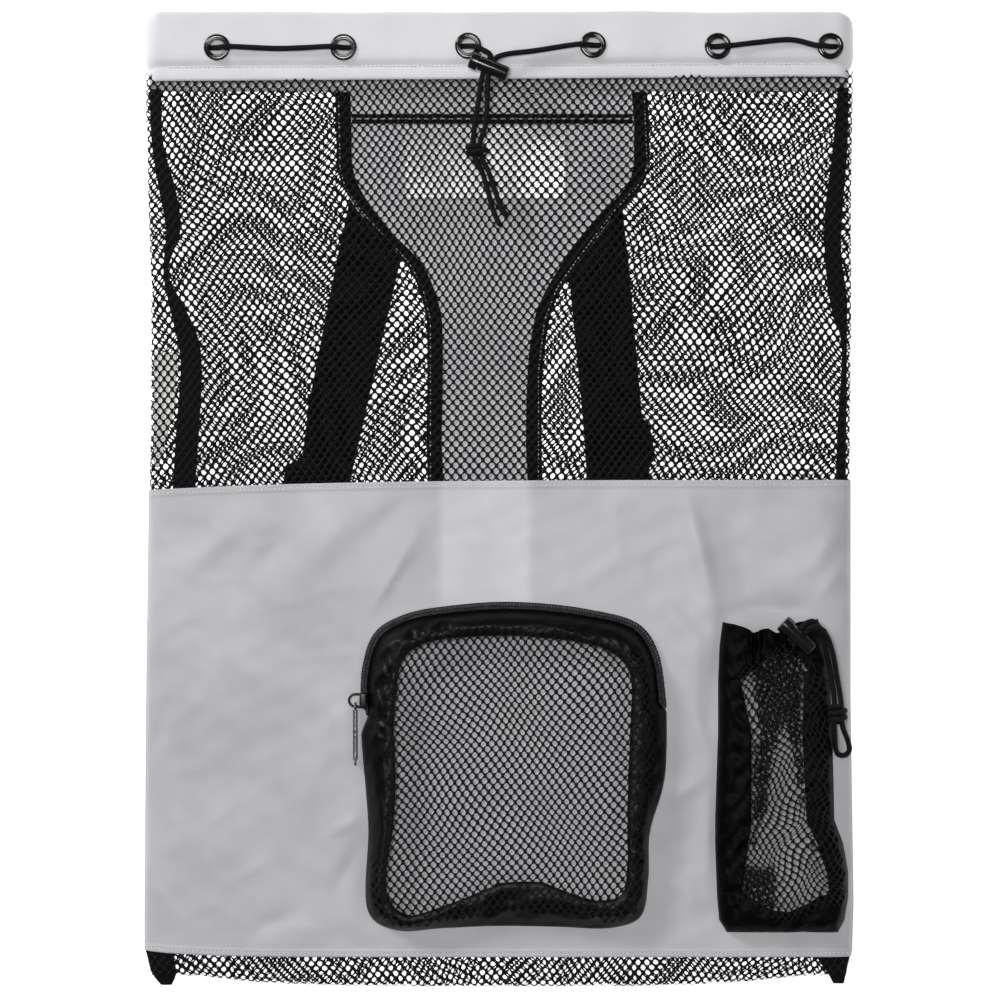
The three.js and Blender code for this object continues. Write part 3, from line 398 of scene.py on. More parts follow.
def loft(name, rings, ring=False):
    """Closed solid through rings of points; the ends are capped, or joined when ring is true."""
    count, sides, _ = rings.shape
    faces = quads(count, sides, around=True, ring=ring)
    if not ring:
        faces += [list(range(sides)), list(range((count - 1) * sides, count * sides))]
    piece = mesh_piece(name, rings.reshape(-1, 3), faces)
    face_out(piece)
    return piece


def dress(piece, material, slot, *nodes, body="bag"):
    """Gives a piece its finish, the body that it moves with and the solids that it stands for."""
    piece.data.materials.clear()
    piece.data.materials.append(material)
    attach(piece, body)
    if nodes:
        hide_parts(*nodes)
    return piece


def triangles(piece):
    """Number of triangles in a mesh."""
    return sum(len(face.vertices) - 2 for face in piece.data.polygons)


print("solids to dress:", len(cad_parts))

# %% [markdown]
# ### The bag's outline
# The charts here repeat the part's own outline, so that every cloth lies where its solid does. The edges
# could be measured on the solids, but a short chart with straight lines between its rows is easier to read
# and to change.

# %% Bag outline
def chart(text):
    """Columns of numbers by name: the first line names them, and each line below is a row."""
    names, *rows = (line.split() for line in text.strip().splitlines())
    return dict(zip(names, np.array(rows, float).T))


EDGES = chart("""
y left right
286 -231 231
195 -229 230
130 -227 230
13 -228 229
-130 -230 229
-262 -231 231
-293 -231 230
-317 -225 225
""")
BASE_Y, MOUTH_Y, BAG_HALF = -317.5, 317.5, 231.0
CORNER_LIFT, CORNER_REACH = 7.0, 196.0
BAND_HEIGHT, BACK_DROP, BAND_SLOPE = 44.0, 7.0, 1 / 145
BACK_EDGE = MOUTH_Y - BAND_HEIGHT - BACK_DROP
PANEL_TOP, PANEL_DIP, PANEL_BASE, PANEL_LIFT = 12.7, 6.5, -297.4, 4.0


def read(table, name, y):
    """A column of a chart at heights y; its rows fall from the mouth to the base."""
    return np.interp(-np.asarray(y, float), -table["y"], table[name])


def inset(table, x, y):
    """How far a place lies inside the left and right columns of a chart."""
    return np.minimum(x - read(table, "left", y), read(table, "right", y) - x)


def base_edge(x):
    """The bag's lower edge, which lifts towards the corners."""
    return BASE_Y + CORNER_LIFT * np.minimum(1, np.abs(x) / CORNER_REACH) ** 4


def band_edge(x):
    """The lower edge of the mouth band on the front."""
    return MOUTH_Y - BAND_HEIGHT + np.asarray(x) * BAND_SLOPE


def panel_top(x):
    """The front panel's upper edge, which dips at the left."""
    return PANEL_TOP - PANEL_DIP * ((BAG_HALF - x) / (2 * BAG_HALF)) ** 4


def panel_base(x):
    """The front panel's lower edge, which lifts at the left."""
    return PANEL_BASE + PANEL_LIFT * (np.maximum(0, -x) / BAG_HALF) ** 6


print("bag:", 2 * BAG_HALF, "x", MOUTH_Y - BASE_Y, "mm")

# %% [markdown]
# ### Levels of the two walls
# Front and back meet along the sides and the base, and part over a rolled edge. Two free surfaces could
# cross, so one function says how far the bag has opened at a place, and both walls are built on it.

# %% Levels of the walls
BACK_TOP, FRONT_TOP, SEAM_Z = 10.5, 22.0, 15.75
FRONT_SEAM, BACK_SEAM = SEAM_Z + 1.15, SEAM_Z - 0.15
EDGE_ROLL, MOUTH_ROLL, MOUTH_FADE = 28.0, 10.0, (180, 270)
ROLL_START, ROLL_END = 0.75, 2.8  # powers that shape a rolled edge at its seam and at its crest


def ease(value, low, high):
    """Smooth step from 0 at low to 1 at high."""
    t = np.clip((np.asarray(value, float) - low) / (high - low), 0, 1)
    return t * t * (3 - 2 * t)


def shoulder(reach):
    """How high a rolled edge has risen at a share of its width."""
    return 1 - (1 - np.clip(reach, 0, 1) ** ROLL_START) ** ROLL_END


def fullness(x, y):
    """0 on the bag's edges and 1 inside its rolled border."""
    roll = EDGE_ROLL + (MOUTH_ROLL - EDGE_ROLL) * ease(y, *MOUTH_FADE)
    return shoulder(np.minimum(inset(EDGES, x, y) / roll, (y - base_edge(x)) / EDGE_ROLL))


def front_z(x, y):
    """Upper face of the front wall."""
    return FRONT_SEAM + (FRONT_TOP - FRONT_SEAM) * fullness(x, y)


def back_z(x, y):
    """Upper face of the back wall."""
    return BACK_SEAM + (BACK_TOP - BACK_SEAM) * fullness(x, y)


print("the walls part by", float(front_z(0.0, 0.0) - back_z(0.0, 0.0)), "mm in the middle")

# %% [markdown]
# ### Folds and ripples
# Loose cloth has a few large folds and many small ripples. A cloth simulation would fold it in places of
# its own, so the folds that the photograph shows are rows of a chart, and the ripples are sums of random
# waves whose seed is fixed.

# %% Folds and ripples
def waves(seed, length, count=8):
    """Smooth random relief between about -1 and 1, made of plane waves of about that length."""
    rng = np.random.default_rng(seed)
    turns, phases = rng.uniform(0, 2 * math.pi, (2, count))
    lengths = length * rng.uniform(0.7, 1.5, count)

    def field(x, y):
        total = 0
        for turn, phase, size in zip(turns, phases, lengths):
            total = total + np.sin((x * math.cos(turn) + y * math.sin(turn)) * 2 * math.pi / size + phase)
        return total / math.sqrt(2 * count)

    return field


def folds_height(table, x, y):
    """Height of soft folds; each row has its middle, direction, length, width and height."""
    total = 0
    for fold_x, fold_y, turn, length, width, height in zip(*table.values()):
        c, s = math.cos(math.radians(turn)), math.sin(math.radians(turn))
        along = ((x - fold_x) * c + (y - fold_y) * s) / length
        across = ((y - fold_y) * c - (x - fold_x) * s) / width
        total = total + height * np.exp(-(along**2) - across**2)
    return total


print("a ripple's height at one place:", round(float(waves(1, 50)(0.0, 0.0)), 3))

# %% [markdown]
# ## Cords
# All cords are one braid, 3.5 mm thick and limp. Each has a route of given points and follows a smooth
# curve through them. Blender's own curves could do that too, but here the points, the length and the
# directions across the cord are needed later, so the curve is worked out in numbers.

# %% Curves
def spline(points, per_span, closed=False):
    """Smooth curve through points, with steps per span."""
    p = np.asarray(points, float)
    ends = (p[-1:], p[:2]) if closed else (2 * p[:1] - p[1:2], 2 * p[-1:] - p[-2:-1])
    p = np.vstack([ends[0], p, ends[1]])
    t = np.linspace(0, 1, per_span, endpoint=False)[:, None]
    spans = []
    for p0, p1, p2, p3 in zip(p[:-3], p[1:-2], p[2:-1], p[3:]):
        a, b, c = (max(np.linalg.norm(v) ** 0.5, 1e-4) for v in (p1 - p0, p2 - p1, p3 - p2))
        leave = ((p1 - p0) / a - (p2 - p0) / (a + b) + (p2 - p1) / b) * b
        arrive = ((p2 - p1) / b - (p3 - p1) / (b + c) + (p3 - p2) / c) * b
        cubic = 2 * p1 - 2 * p2 + leave + arrive
        square = 3 * p2 - 3 * p1 - 2 * leave - arrive
        spans.append(cubic * t**3 + square * t**2 + leave * t + p1)
    return np.vstack(spans if closed else spans + [p[-2:-1]])


def evenly(path, step):
    """Points on a path at equal distances."""
    run = np.r_[0, np.cumsum(np.linalg.norm(np.diff(path, axis=0), axis=1))]
    places = np.linspace(0, run[-1], max(2, round(run[-1] / step)) + 1)
    return np.stack([np.interp(places, run, path[:, k]) for k in range(3)], axis=1)


def path_length(path):
    """Length of a path."""
    return float(np.linalg.norm(np.diff(path, axis=0), axis=1).sum())


def frames(path):
    """Two directions square to a path at each of its points, without twist."""
    tangents = np.gradient(path, axis=0)
    tangents /= np.linalg.norm(tangents, axis=1)[:, None]
    side = np.cross(tangents[0], (0, 0, 1) if abs(tangents[0][2]) < 0.9 else (1, 0, 0))
    sides = []
    for tangent in tangents:
        side = side - tangent * side.dot(tangent)
        side = side / np.linalg.norm(side)
        sides.append(side)
    sides = np.array(sides)
    return sides, np.cross(tangents, sides)


corner = spline([(0, 0, 0), (3, 0, 0), (3, 4, 0)], 8)
print("a smooth curve round a corner of 3 and 4 mm:", round(path_length(corner), 2), "mm")

# %% [markdown]
# A curve with a round bevel would be a smooth tube. A braid has eight strands that cross, so the tube's
# radius swells where they do, and the braid shows in the cord's outline as well as in its finish.

# %% Tubes and braids
CORD_RADIUS = 1.75
BRAID_STEP, BRAID_SIDES, BRAID_PITCH, BRAID_STRANDS = 0.55, 16, 5.2, 4
BRAID_BODY, BRAID_SWELL = 0.97, 0.05  # shares of the radius


def tube(name, path, radius, sides):
    """Round bar along a path; radius is one number, or one for each ring and side."""
    turn = np.arange(sides) * 2 * math.pi / sides
    across, up = frames(path)
    circle = np.cos(turn)[None, :, None] * across[:, None] + np.sin(turn)[None, :, None] * up[:, None]
    radius = np.broadcast_to(np.asarray(radius, float), (len(path), sides))
    return loft(name, path[:, None] + circle * radius[:, :, None])


def braid(name, route, round_start=False, round_end=False):
    """Braided cord through a route's points: (piece, path)."""
    path = evenly(spline(route, 16), BRAID_STEP)
    run = np.arange(len(path))[:, None] * BRAID_STEP
    turn = np.arange(BRAID_SIDES)[None] * 2 * math.pi / BRAID_SIDES
    twist = 2 * math.pi * run / BRAID_PITCH
    lumps = np.maximum(np.cos(BRAID_STRANDS * turn + twist), np.cos(BRAID_STRANDS * turn - twist))
    radius = CORD_RADIUS * (BRAID_BODY + BRAID_SWELL * lumps)
    for wanted, gap in ((round_start, run), (round_end, run[-1] - run)):
        if wanted:
            radius = radius * np.sqrt(np.clip(1 - (1 - np.clip(gap / CORD_RADIUS, 0, 1)) ** 2, 0.06, 1))
    return tube(name, path, radius, BRAID_SIDES), path


print("cord:", 2 * CORD_RADIUS, "mm thick, strands cross every", BRAID_PITCH / 2, "mm")

# %% [markdown]
# ### Drawcord
# The drawcord runs from the spring lock through the eyelets and the channel in the mouth band and back to
# the lock. A cord simulation would need the band to hold it, so the route repeats the solid's points. The
# stretch inside the channel is hidden, and runs there plainly.

# %% Drawcord
EYELETS = [(-183, 293.5), (-101, 293.5), (-20, 294.4), (61, 295), (142, 294.2), (215, 294.2)]
EYELET_WAY = [(9, 8.9), (5, 8.6), (0.6, 3.9), (-6.8, 1.8), (-12, 1.8)]  # along the band, out of it
BAND_OUT, END_RADIUS = 4.9, 5.25
END_X = BAG_HALF - BAND_OUT - END_RADIUS
FRONT_LOW = FRONT_TOP - 1
BAND_FACE = FRONT_LOW + BAND_OUT
CHANNEL_Y, IN_CHANNEL = 294, 1.8  # the channel's middle, and the cord's distance from its inner wall
LAID_Z = BAND_FACE + 2.4
STRAND = 1.95  # from a lock's middle to each of its two cords


def lock_frame(place, turn):
    """Turns a lock's own coordinates into the bag's."""
    c, s = math.cos(math.radians(turn)), math.sin(math.radians(turn))

    def at(x, y, z=0.0):
        return (place[0] + c * x - s * y, place[1] + s * x + c * y, place[2] + z)

    return at


def through_eyelet(index, outside):
    """Way of the cord over an eyelet's rim, down its hole and under the band."""
    x, y = EYELETS[index]
    return [(x + outside * reach, y, FRONT_LOW + out) for reach, out in EYELET_WAY]


def round_channel(sign):
    """Way of the cord round one end of the channel, from the front to the back."""
    reach = END_RADIUS + IN_CHANNEL
    angles = [math.radians(a) for a in (15, 45, 75, 105, 135, 165)]
    return [(sign * (END_X + reach * math.sin(a)), CHANNEL_Y, SEAM_Z + reach * math.cos(a)) for a in angles]


MOUTH_LOCK = ((-6.5, 280, 32.6), -22.0)
in_lock = lock_frame(*MOUTH_LOCK)
drawcord, drawcord_path = braid("drawcord_braid", [
    in_lock(-STRAND, 0.15), in_lock(-STRAND, 7.2, -0.4), (-10.6, 291.2, 31.4), (-15.2, 293.4, 29.9),
    *through_eyelet(2, 1)[2:], *through_eyelet(1, -1)[::-1], (-142, 292.4, LAID_Z), *through_eyelet(0, 1),
    *round_channel(-1), *[(x, CHANNEL_Y, BACK_TOP - IN_CHANNEL) for x in np.linspace(-190, 190, 7)],
    *round_channel(1)[::-1], *through_eyelet(5, -1)[:4][::-1], (190, 298, LAID_Z), (168, 296.4, LAID_Z),
    *through_eyelet(4, 1), *through_eyelet(3, -1)[::-1], (22, 290.6, 29.4), (4, 288, 31.6),
    in_lock(STRAND, 6.6, -0.2), in_lock(STRAND, 0.15)])
dress(drawcord, BRAID, "braid", "drawcord")
print("drawcord:", round(path_length(drawcord_path)), "mm,", triangles(drawcord), "triangles")

# %% [markdown]
# ### Legs, tails and knot below the mouth lock
# Below the lock two legs go through a knot and end in two short tails. Each leg runs on through the knot
# into its tail, so each is one cord. A true overhand knot would need both cords to pass through its turns.
# Only its wrap shows, so the knot is two turns of cord drawn tight round both strands.

# %% Mouth cords
LAID_GAP = 0.3  # between the net and a cord that lies on it
KNOT = (-14.3, 226.5, FRONT_TOP + LAID_GAP + 4.7)


def on_front(x, y, lift=0.0):
    """A point where the cord lies on the front."""
    return (x, y, float(front_z(np.float64(x), np.float64(y))) + LAID_GAP + CORD_RADIUS + lift)


def wrap(name, middle, reach, height, rise, turns):
    """Turns of cord wound round two strands that run along Y; its ends are tucked in."""
    turn = np.linspace(0.35, turns - 0.35, 40) * 2 * math.pi
    drift = (turn / (2 * math.pi) - turns / 2) * rise
    tuck = 1 - 0.5 * np.clip(np.abs(turn / math.pi - turns) - turns + 0.95, 0, 1)
    route = np.array(middle) + np.c_[reach * np.sin(turn) * tuck, drift, height * np.cos(turn) * tuck]
    return braid(name, route, True, True)[0]


left_cord, left_path = braid("mouth_cord_left", [
    in_lock(-STRAND, -0.15), in_lock(-STRAND, -6), (-13.6, 256, 30.4), (-16, 241, 28.4),
    (-16.5, 231.5, KNOT[2]), (-15.8, 222, KNOT[2] - 0.6), on_front(-11.6, 214, 1), on_front(-7.8, 202.5),
    on_front(-3.9, 188.2), on_front(0.7, 177.4)], round_end=True)
right_cord, right_path = braid("mouth_cord_right", [
    in_lock(STRAND, -0.15), in_lock(STRAND, -6), (-7.6, 256, 30.4), (-9, 242, 28.4), (-12.2, 231.5, KNOT[2]),
    (-11.4, 222, KNOT[2] - 0.6), on_front(-7, 213.4, 1), on_front(-2.6, 200.5), on_front(1.3, 190),
    on_front(5.9, 183.3)], round_end=True)
mouth_knot = wrap("mouth_knot", KNOT, 6.0, 3.1, 3.5, 2.4)
dress(left_cord, BRAID, "braid", "cord_leg_left", "cord_tail_left")
dress(right_cord, BRAID, "braid", "cord_leg_right", "cord_tail_right")
dress(mouth_knot, BRAID, "braid", "cord_knot")
print("mouth cords:", round(path_length(left_path)), "and", round(path_length(right_path)), "mm")

# %% [markdown]
# ### Cord of the bottle pocket
# One cord goes out of the second lock, through a knot, round an end loop, back through the knot and into
# the lock again. It is one piece on the bag, so it is one route here, with the loop's tip as an arc.

# %% Bottle cord
BOTTLE_LOCK = ((192, -88.2, 43.2), -43.8)
in_bottle_lock = lock_frame(*BOTTLE_LOCK)
BOTTLE_KNOT = (219, -138.8, 32.2)
LOOP_TIP, LOOP_RADIUS = (222.9, -161.7), 4.4
LOOP_HEIGHTS = {190: 26.6, 230: 25.2, 270: 24.7, 310: 25.2, 350: 26.4}  # by the turn round the tip
tip = [(LOOP_TIP[0] + LOOP_RADIUS * math.cos(math.radians(turn)),
        LOOP_TIP[1] + LOOP_RADIUS * math.sin(math.radians(turn)), z) for turn, z in LOOP_HEIGHTS.items()]
bottle_cord, bottle_path = braid("bottle_cord", [
    in_bottle_lock(-STRAND, -6), in_bottle_lock(-STRAND, 6), (197.6, -79.7, 43.3), (201.5, -78.4, 42.9),
    (205.6, -81.2, 41.4), (208.6, -87, 39.4), (211, -96, 37), (215, -116, 34), (216.9, -130, 32.2),
    (216.8, -146, 32), (217.4, -154, 30), *tip, (226, -156, 28.6), (222.4, -147, 31.8), (221.1, -130, 32.2),
    (218.7, -116, 34), (214.8, -97, 38.2), (211.4, -88.6, 42), (207.8, -83.4, 44.6), (203.6, -81.8, 45.6),
    (200, -82.9, 44.6), in_bottle_lock(STRAND, 6), in_bottle_lock(STRAND, -6)])
dress(bottle_cord, BRAID, "braid", "bottle_leg_inner", "bottle_leg_outer", "bottle_loop")
bottle_knot = wrap("bottle_knot_wrap", BOTTLE_KNOT, 4.9, 4.6, 4.2, 3.4)
dress(bottle_knot, BRAID, "braid", "bottle_knot")
print("bottle cord:", round(path_length(bottle_path)), "mm")

# %% [markdown]
# ## Net
# The net is one knitted sheet with rounded diamond holes, 5.55 mm apart along a row. A Wireframe modifier
# on a grid would give straight square bars. Here each hole is a ring of eight points half way up the yarn,
# and the yarn's crest runs between the crossings, so every strand is round and the mesh is closed. Drift in
# the plane shifts the holes as limp net does, and two drifting layers over each other give the wavy
# patterns of the real bag.

# %% Net maker
NET_PITCH, NET_ROW, YARN = 5.55, 3.5, 0.9
HOLE_WIDE, HOLE_HIGH, HOLE_CORNER = 1.85, 2.1, 0.66
RIM = np.array([(1, 0), (HOLE_CORNER, HOLE_CORNER), (0, 1), (-HOLE_CORNER, HOLE_CORNER),
                (-1, 0), (-HOLE_CORNER, -HOLE_CORNER), (0, -1), (HOLE_CORNER, -HOLE_CORNER)])
NET_SPARE = 30.0  # the lattice is laid this far past its box, so that drift leaves no corner bare


def net(name, box, inside, height, turn, stretch, drift, trim=None):
    """Net in a box x0, x1, y0, y1 where inside is true, at the height of its middle; trim moves its edge."""
    middle = ((box[0] + box[1]) / 2, (box[2] + box[3]) / 2)
    reach = math.hypot(box[1] - box[0], box[3] - box[2]) / 2 + NET_SPARE
    c, s = math.cos(math.radians(turn)), math.sin(math.radians(turn))

    def place(u, v):
        x = middle[0] + c * u * stretch[0] - s * v * stretch[1]
        y = middle[1] + s * u * stretch[0] + c * v * stretch[1]
        shift = drift(x, y)
        return x + shift[0], y + shift[1]

    def set_down(u, v):
        x, y = place(u, v)
        return trim(x, y) if trim else (x, y)

    # Every other point of the lattice is a hole, and the points beside a hole are crossings of the yarn
    across, up = int(2 * reach / NET_PITCH / stretch[0]) + 2, int(reach / NET_ROW / stretch[1]) + 2
    a, b = np.meshgrid(np.arange(-across, across + 1), np.arange(-up, up + 1), indexing="ij")
    u, v = a * NET_PITCH / 2, b * NET_ROW
    keep = ((a + b) % 2 == 0) & inside(*place(u, v))
    keep[[0, -1]] = False
    keep[:, [0, -1]] = False
    knots = np.zeros_like(keep)
    knots[1:] |= keep[:-1]
    knots[:-1] |= keep[1:]
    knots[:, 1:] |= keep[:, :-1]
    knots[:, :-1] |= keep[:, 1:]
    number = np.cumsum(knots.ravel()).reshape(knots.shape) - 1

    # Points: the crossings' tops, their undersides, and eight round each hole
    x, y = set_down(u[knots], v[knots])
    z = height(x, y)
    count = len(x)
    points = [np.c_[x, y, z + YARN / 2], np.c_[x, y, z - YARN / 2]]
    i, j = np.nonzero(keep)
    rim_u, rim_v = u[i, j][:, None] + HOLE_WIDE * RIM[:, 0], v[i, j][:, None] + HOLE_HIGH * RIM[:, 1]
    x, y = (part.ravel() for part in set_down(rim_u, rim_v))
    points.append(np.c_[x, y, height(x, y)])

    # Each hole has four sides of yarn above and below, and a wall where there is no hole beyond
    first = 2 * count + 8 * np.arange(len(i))
    corners = [number[i + 1, j], number[i, j + 1], number[i - 1, j], number[i, j - 1]]
    beyond = [keep[i + 1, j + 1], keep[i - 1, j + 1], keep[i - 1, j - 1], keep[i + 1, j - 1]]
    faces = []
    for side in range(4):
        here, there = corners[side], corners[(side + 1) % 4]
        tip, corner, next_tip = first + 2 * side, first + 2 * side + 1, first + (2 * side + 2) % 8
        for low, order in ((0, (0, 1, 2)), (count, (0, 2, 1))):
            near, far = here + low, there + low
            for face in ((near, far, corner), (near, corner, tip), (far, next_tip, corner)):
                faces.append(np.stack(face, axis=1)[:, order])
        wall = ~beyond[side]
        here, there = here[wall], there[wall]
        faces.append(np.c_[there, here, here + count])
        faces.append(np.c_[there, here + count, there + count])
    return mesh_piece(name, np.vstack(points), np.vstack(faces).tolist())


def drifting(seed, length, size):
    """In-plane drift of about size millimetres that changes over about length millimetres."""
    wave_x, wave_y = waves(seed, length), waves(seed + 1, length)
    return lambda x, y: (size * wave_x(x, y), size * wave_y(x, y))


def between(value, low, high):
    """True where a value lies between two limits."""
    return (value > low) & (value < high)


print("holes per square metre:", round(1e6 / NET_PITCH / NET_ROW))

# %% [markdown]
# ### Levels and edges of the bag's net walls
# The front net goes under the mouth band and under the front panel. The back net is sewn in between the
# yoke and its tape, and below the yoke its two halves meet. Cutting the net along the seams would leave
# open strands there, so the outermost holes are packed against the edge instead, as in a selvedge.

# %% Levels and edges of the net
YOKE = chart("""
y left right
266 -107 97
217 -106 99
205 -103 93
188 -92 77
155 -61 52
138 -52 40
117 -47 32
84 -47 28
-318 -47 28
""")
YOKE_END, NET_JOIN = -296.0, 26.0
SIDE_OVER, SELVEDGE, TUCK = 1.2, 1.8, 4.0
NET_MIDDLE, FRONT_RIPPLE, BACK_RIPPLE = 0.5, 0.7, 0.5
PANEL_SINK, SEWN_LIFT = 1.0, 0.7
INTO_BAG = {"left": 1, "right": -1}  # the way in from each side
front_ripple, back_ripple = waves(3, 75), waves(5, 60)


def front_net_z(x, y):
    """Middle of the front net, which sinks under the panel."""
    tuck = ease(panel_top(x) - y, -3, 1) * ease(y - panel_base(x), -3, 1)
    ripple = FRONT_RIPPLE * front_ripple(x, y) * fullness(x, y)
    return front_z(x, y) - NET_MIDDLE + ripple - PANEL_SINK * np.clip(tuck, 0, 1)


def back_net_z(x, y):
    """Middle of the back net, which is sewn in between the yoke and its tape."""
    sewn = ease(inset(YOKE, x, y), -2.5, 0) * ease(y, YOKE_END - 5, YOKE_END - 1)
    ripple = BACK_RIPPLE * back_ripple(x, y) * fullness(x, y) * (1 - sewn)
    return back_z(x, y) - NET_MIDDLE + ripple + SEWN_LIFT * sewn


def beside_yoke(side, y):
    """Where a back net ends beside the yoke, or meets the other one below it."""
    return np.where(y < YOKE_END, NET_JOIN, read(YOKE, side, y) + INTO_BAG[side] * TUCK)


def in_bag(x, y):
    """True inside the bag's outline and a little past it."""
    return (inset(EDGES, x, y) > -SIDE_OVER) & (y > base_edge(x) - SIDE_OVER)


def to_edge(x, y):
    """Packs the net's outermost holes against the bag's edge, so that the edge is straight."""
    def packed(gap):
        return (gap + np.sqrt(gap**2 + SELVEDGE**2)) / 2

    left, right = read(EDGES, "left", y), read(EDGES, "right", y)
    x = right - packed(right - left - packed(x - left))
    return x, base_edge(x) + packed(y - base_edge(x))


print("yoke:", float(np.max(YOKE["right"] - YOKE["left"])), "mm at its widest")

# %% [markdown]
# ### The bag's net walls
# The front net runs from the mouth band to the front panel, and a strip of it shows below the panel. The
# back net fills the back on both sides of the yoke. Each wall is turned and stretched a little against the
# others, because two equal layers would lie hole on hole and show no pattern.

# %% Net walls
BAG_WIDE = (-BAG_HALF, BAG_HALF)
front_net = net("front_net_knit", (*BAG_WIDE, 0, 280),
                lambda x, y: in_bag(x, y) & between(y, panel_top(x) - TUCK, band_edge(x) + TUCK),
                front_net_z, 0.4, (1, 1), drifting(11, 140, 2.6), to_edge)
hem_net = net("hem_net_knit", (*BAG_WIDE, -318, -290),
              lambda x, y: in_bag(x, y) & (y < panel_base(x) + TUCK), front_net_z, 1.5, (0.96, 0.9),
              drifting(21, 60, 2.0), to_edge)
back_left = net("back_net_left_knit", (-BAG_HALF, -47, -318, 267),
                lambda x, y: in_bag(x, y) & (x < beside_yoke("left", y)) & (y < BACK_EDGE + TUCK),
                back_net_z, 8.5, (1.02, 0.97), drifting(31, 95, 5.5), to_edge)
back_right = net("back_net_right_knit", (28, BAG_HALF, -318, 267),
                 lambda x, y: in_bag(x, y) & (x > beside_yoke("right", y)) & (y < BACK_EDGE + TUCK),
                 back_net_z, -7.5, (0.98, 1.03), drifting(41, 90, 5.5), to_edge)
for piece, solid in ((front_net, "front_net"), (hem_net, "hem_net"), (back_left, "back_net_left"),
                     (back_right, "back_net_right")):
    dress(piece, NET_YARN, "net", solid)
    print(piece.name, triangles(piece), "triangles")

# %% [markdown]
# ## Pocket outlines
# Two pockets are sewn onto the front panel, so the panel and the pockets share these outlines. The zip
# pocket is an arch with a sloping black border round a net face. A few arcs would be too even for limp
# cloth, so its outline is a smooth curve through points, and each has the width of the zip's lip and of the
# border there.

# %% Outline of the zip pocket
POCKET = chart("""
x y lip border
10 -66.5 4.6 18
59 -71.5 4.6 19
91 -81 4.6 22
103 -98 4.6 20
108.5 -130 4.6 22
108.9 -138 0 22
107.5 -182 0 21
98 -217 0 13
97 -247 0 15
92 -271 0 17
75 -278 0 19
36 -277.5 0 28
-2 -277 0 26
-36 -278.5 0 17
-67 -279.8 0 10
-84 -270 0 15
-85 -211 0 15
-89.5 -153 0 19
-89.6 -139 4.6 19
-89 -109.5 4.6 24
-80.5 -86 4.6 22
-61 -74.5 4.6 19
-28.5 -68.6 4.6 18
""")
POCKET_MIDDLE = np.array([9.0, -172.0, 0.0])
POCKET_Z, POCKET_DEPTH, POCKET_SAG = 22.3, 15.0, 3.0
POCKET_ROWS, SPAN = len(POCKET["x"]), 14
outline = spline(np.c_[POCKET["x"], POCKET["y"], np.zeros(POCKET_ROWS)], SPAN, closed=True)
outline_row = np.arange(len(outline)) / SPAN
inward = POCKET_MIDDLE - outline
inward /= np.linalg.norm(inward, axis=1)[:, None]
lips, borders = (np.interp(outline_row, np.arange(POCKET_ROWS + 1), np.r_[POCKET[name], POCKET[name][0]])
                 for name in ("lip", "border"))


def share_of(ring):
    """Function that gives a place's distance from the pocket's middle as a share of a ring's there."""
    way = ring - POCKET_MIDDLE
    turn, reach = np.arctan2(way[:, 1], way[:, 0]), np.hypot(way[:, 0], way[:, 1])

    def share(x, y):
        dx, dy = x - POCKET_MIDDLE[0], y - POCKET_MIDDLE[1]
        return np.hypot(dx, dy) / np.interp(np.arctan2(dy, dx), turn, reach, period=2 * math.pi)

    return share


pocket_share = share_of(outline)
face_share = share_of(outline + inward * borders[:, None])
print("zip pocket outline:", round(path_length(outline)), "mm round")

# %% [markdown]
# The bottle pocket is an open pouch beside it. Both of its sides and both edges of its net window run from
# top to bottom, so four columns of a chart over the height describe it.

# %% Outline of the bottle pocket
BOTTLE = chart("""
y left window_left window_right right
-77 145.6 158 192 207
-94 143.3 157 195 212.5
-117 142.3 156 197 215
-151 142.3 163 196 216.5
-208 140.4 163 199 217.8
-223 140.4 161 206 223.5
-242 141 158 212 227
-258 141.7 156.5 214 227
-273 143 155 212 224.5
-281 148 155 210 220
""")
BOTTLE_TOP, BOTTLE_HEM, BOTTLE_BASE, BOTTLE_END = -79.0, -117.0, -254.0, -281.0


def in_bottle(x, y):
    """1 under the bottle pocket, and 0 from 6 mm outside it."""
    tall = np.minimum(BOTTLE_TOP - y, y - BOTTLE_END)
    return ease(np.minimum(inset(BOTTLE, x, y), tall), -6, 0)


print("bottle pocket:", BOTTLE_TOP - BOTTLE_END, "mm tall")

# %% [markdown]
# ## Front panel
# The lower front is one sheet of coated cloth with a sewn hem along its top and bottom. It isn't stretched,
# so soft folds run over it, most of them towards the pockets that pull on it. A cloth simulation would put
# them elsewhere, so they are long, low ridges and hollows with the places and directions that the
# photograph shows. A view from above doesn't show how high they are, so their heights are guesses.

# %% Folds of the panel
PANEL_FOLDS = chart("""
x y turn length width height
131 -35 103 42 6 3.4
155 -32 98 38 15 -3.8
178 -73 0 24 10 -3.2
207 -34 84 34 20 2.6
215 -27 57 20 5 1.5
219 -50 54 16 4 1.4
-187 -31 39 26 9 2.2
-144 -31 50 30 10 -1.7
-110 -25 48 26 10 1.9
-77 -18 45 24 8 -1.0
-71 -52 60 20 2.6 1.5
-64 -36 58 26 9 2.0
-220 -24 -40 8 3 1.0
-220 -148 72 20 4 -1.4
-150 -112 -24 46 16 1.4
-100 -212 30 12 3 1.2
-98 -240 60 16 5 -1.5
-221 -256 -51 16 4 1.5
-148 -276 27 20 6 -1.4
-56 -285 26 9 3 1.0
-30 -288 60 6 2.5 0.8
11 -290 60 6 2.5 0.8
117 -79 -48 18 6 1.5
129 -118 92 28 7 2.0
130 -147 -63 16 4 1.4
124 -187 29 14 5 1.4
121 -225 88 20 7 -1.5
136 -220 88 28 3 1.7
124 -259 110 14 5 1.5
""")
BROAD_HEIGHT, FINE_HEIGHT, RIDGE_HEIGHT = 0.65, 0.2, 0.4
broad, fine, sharp = waves(51, 95), waves(53, 24), waves(55, 70)


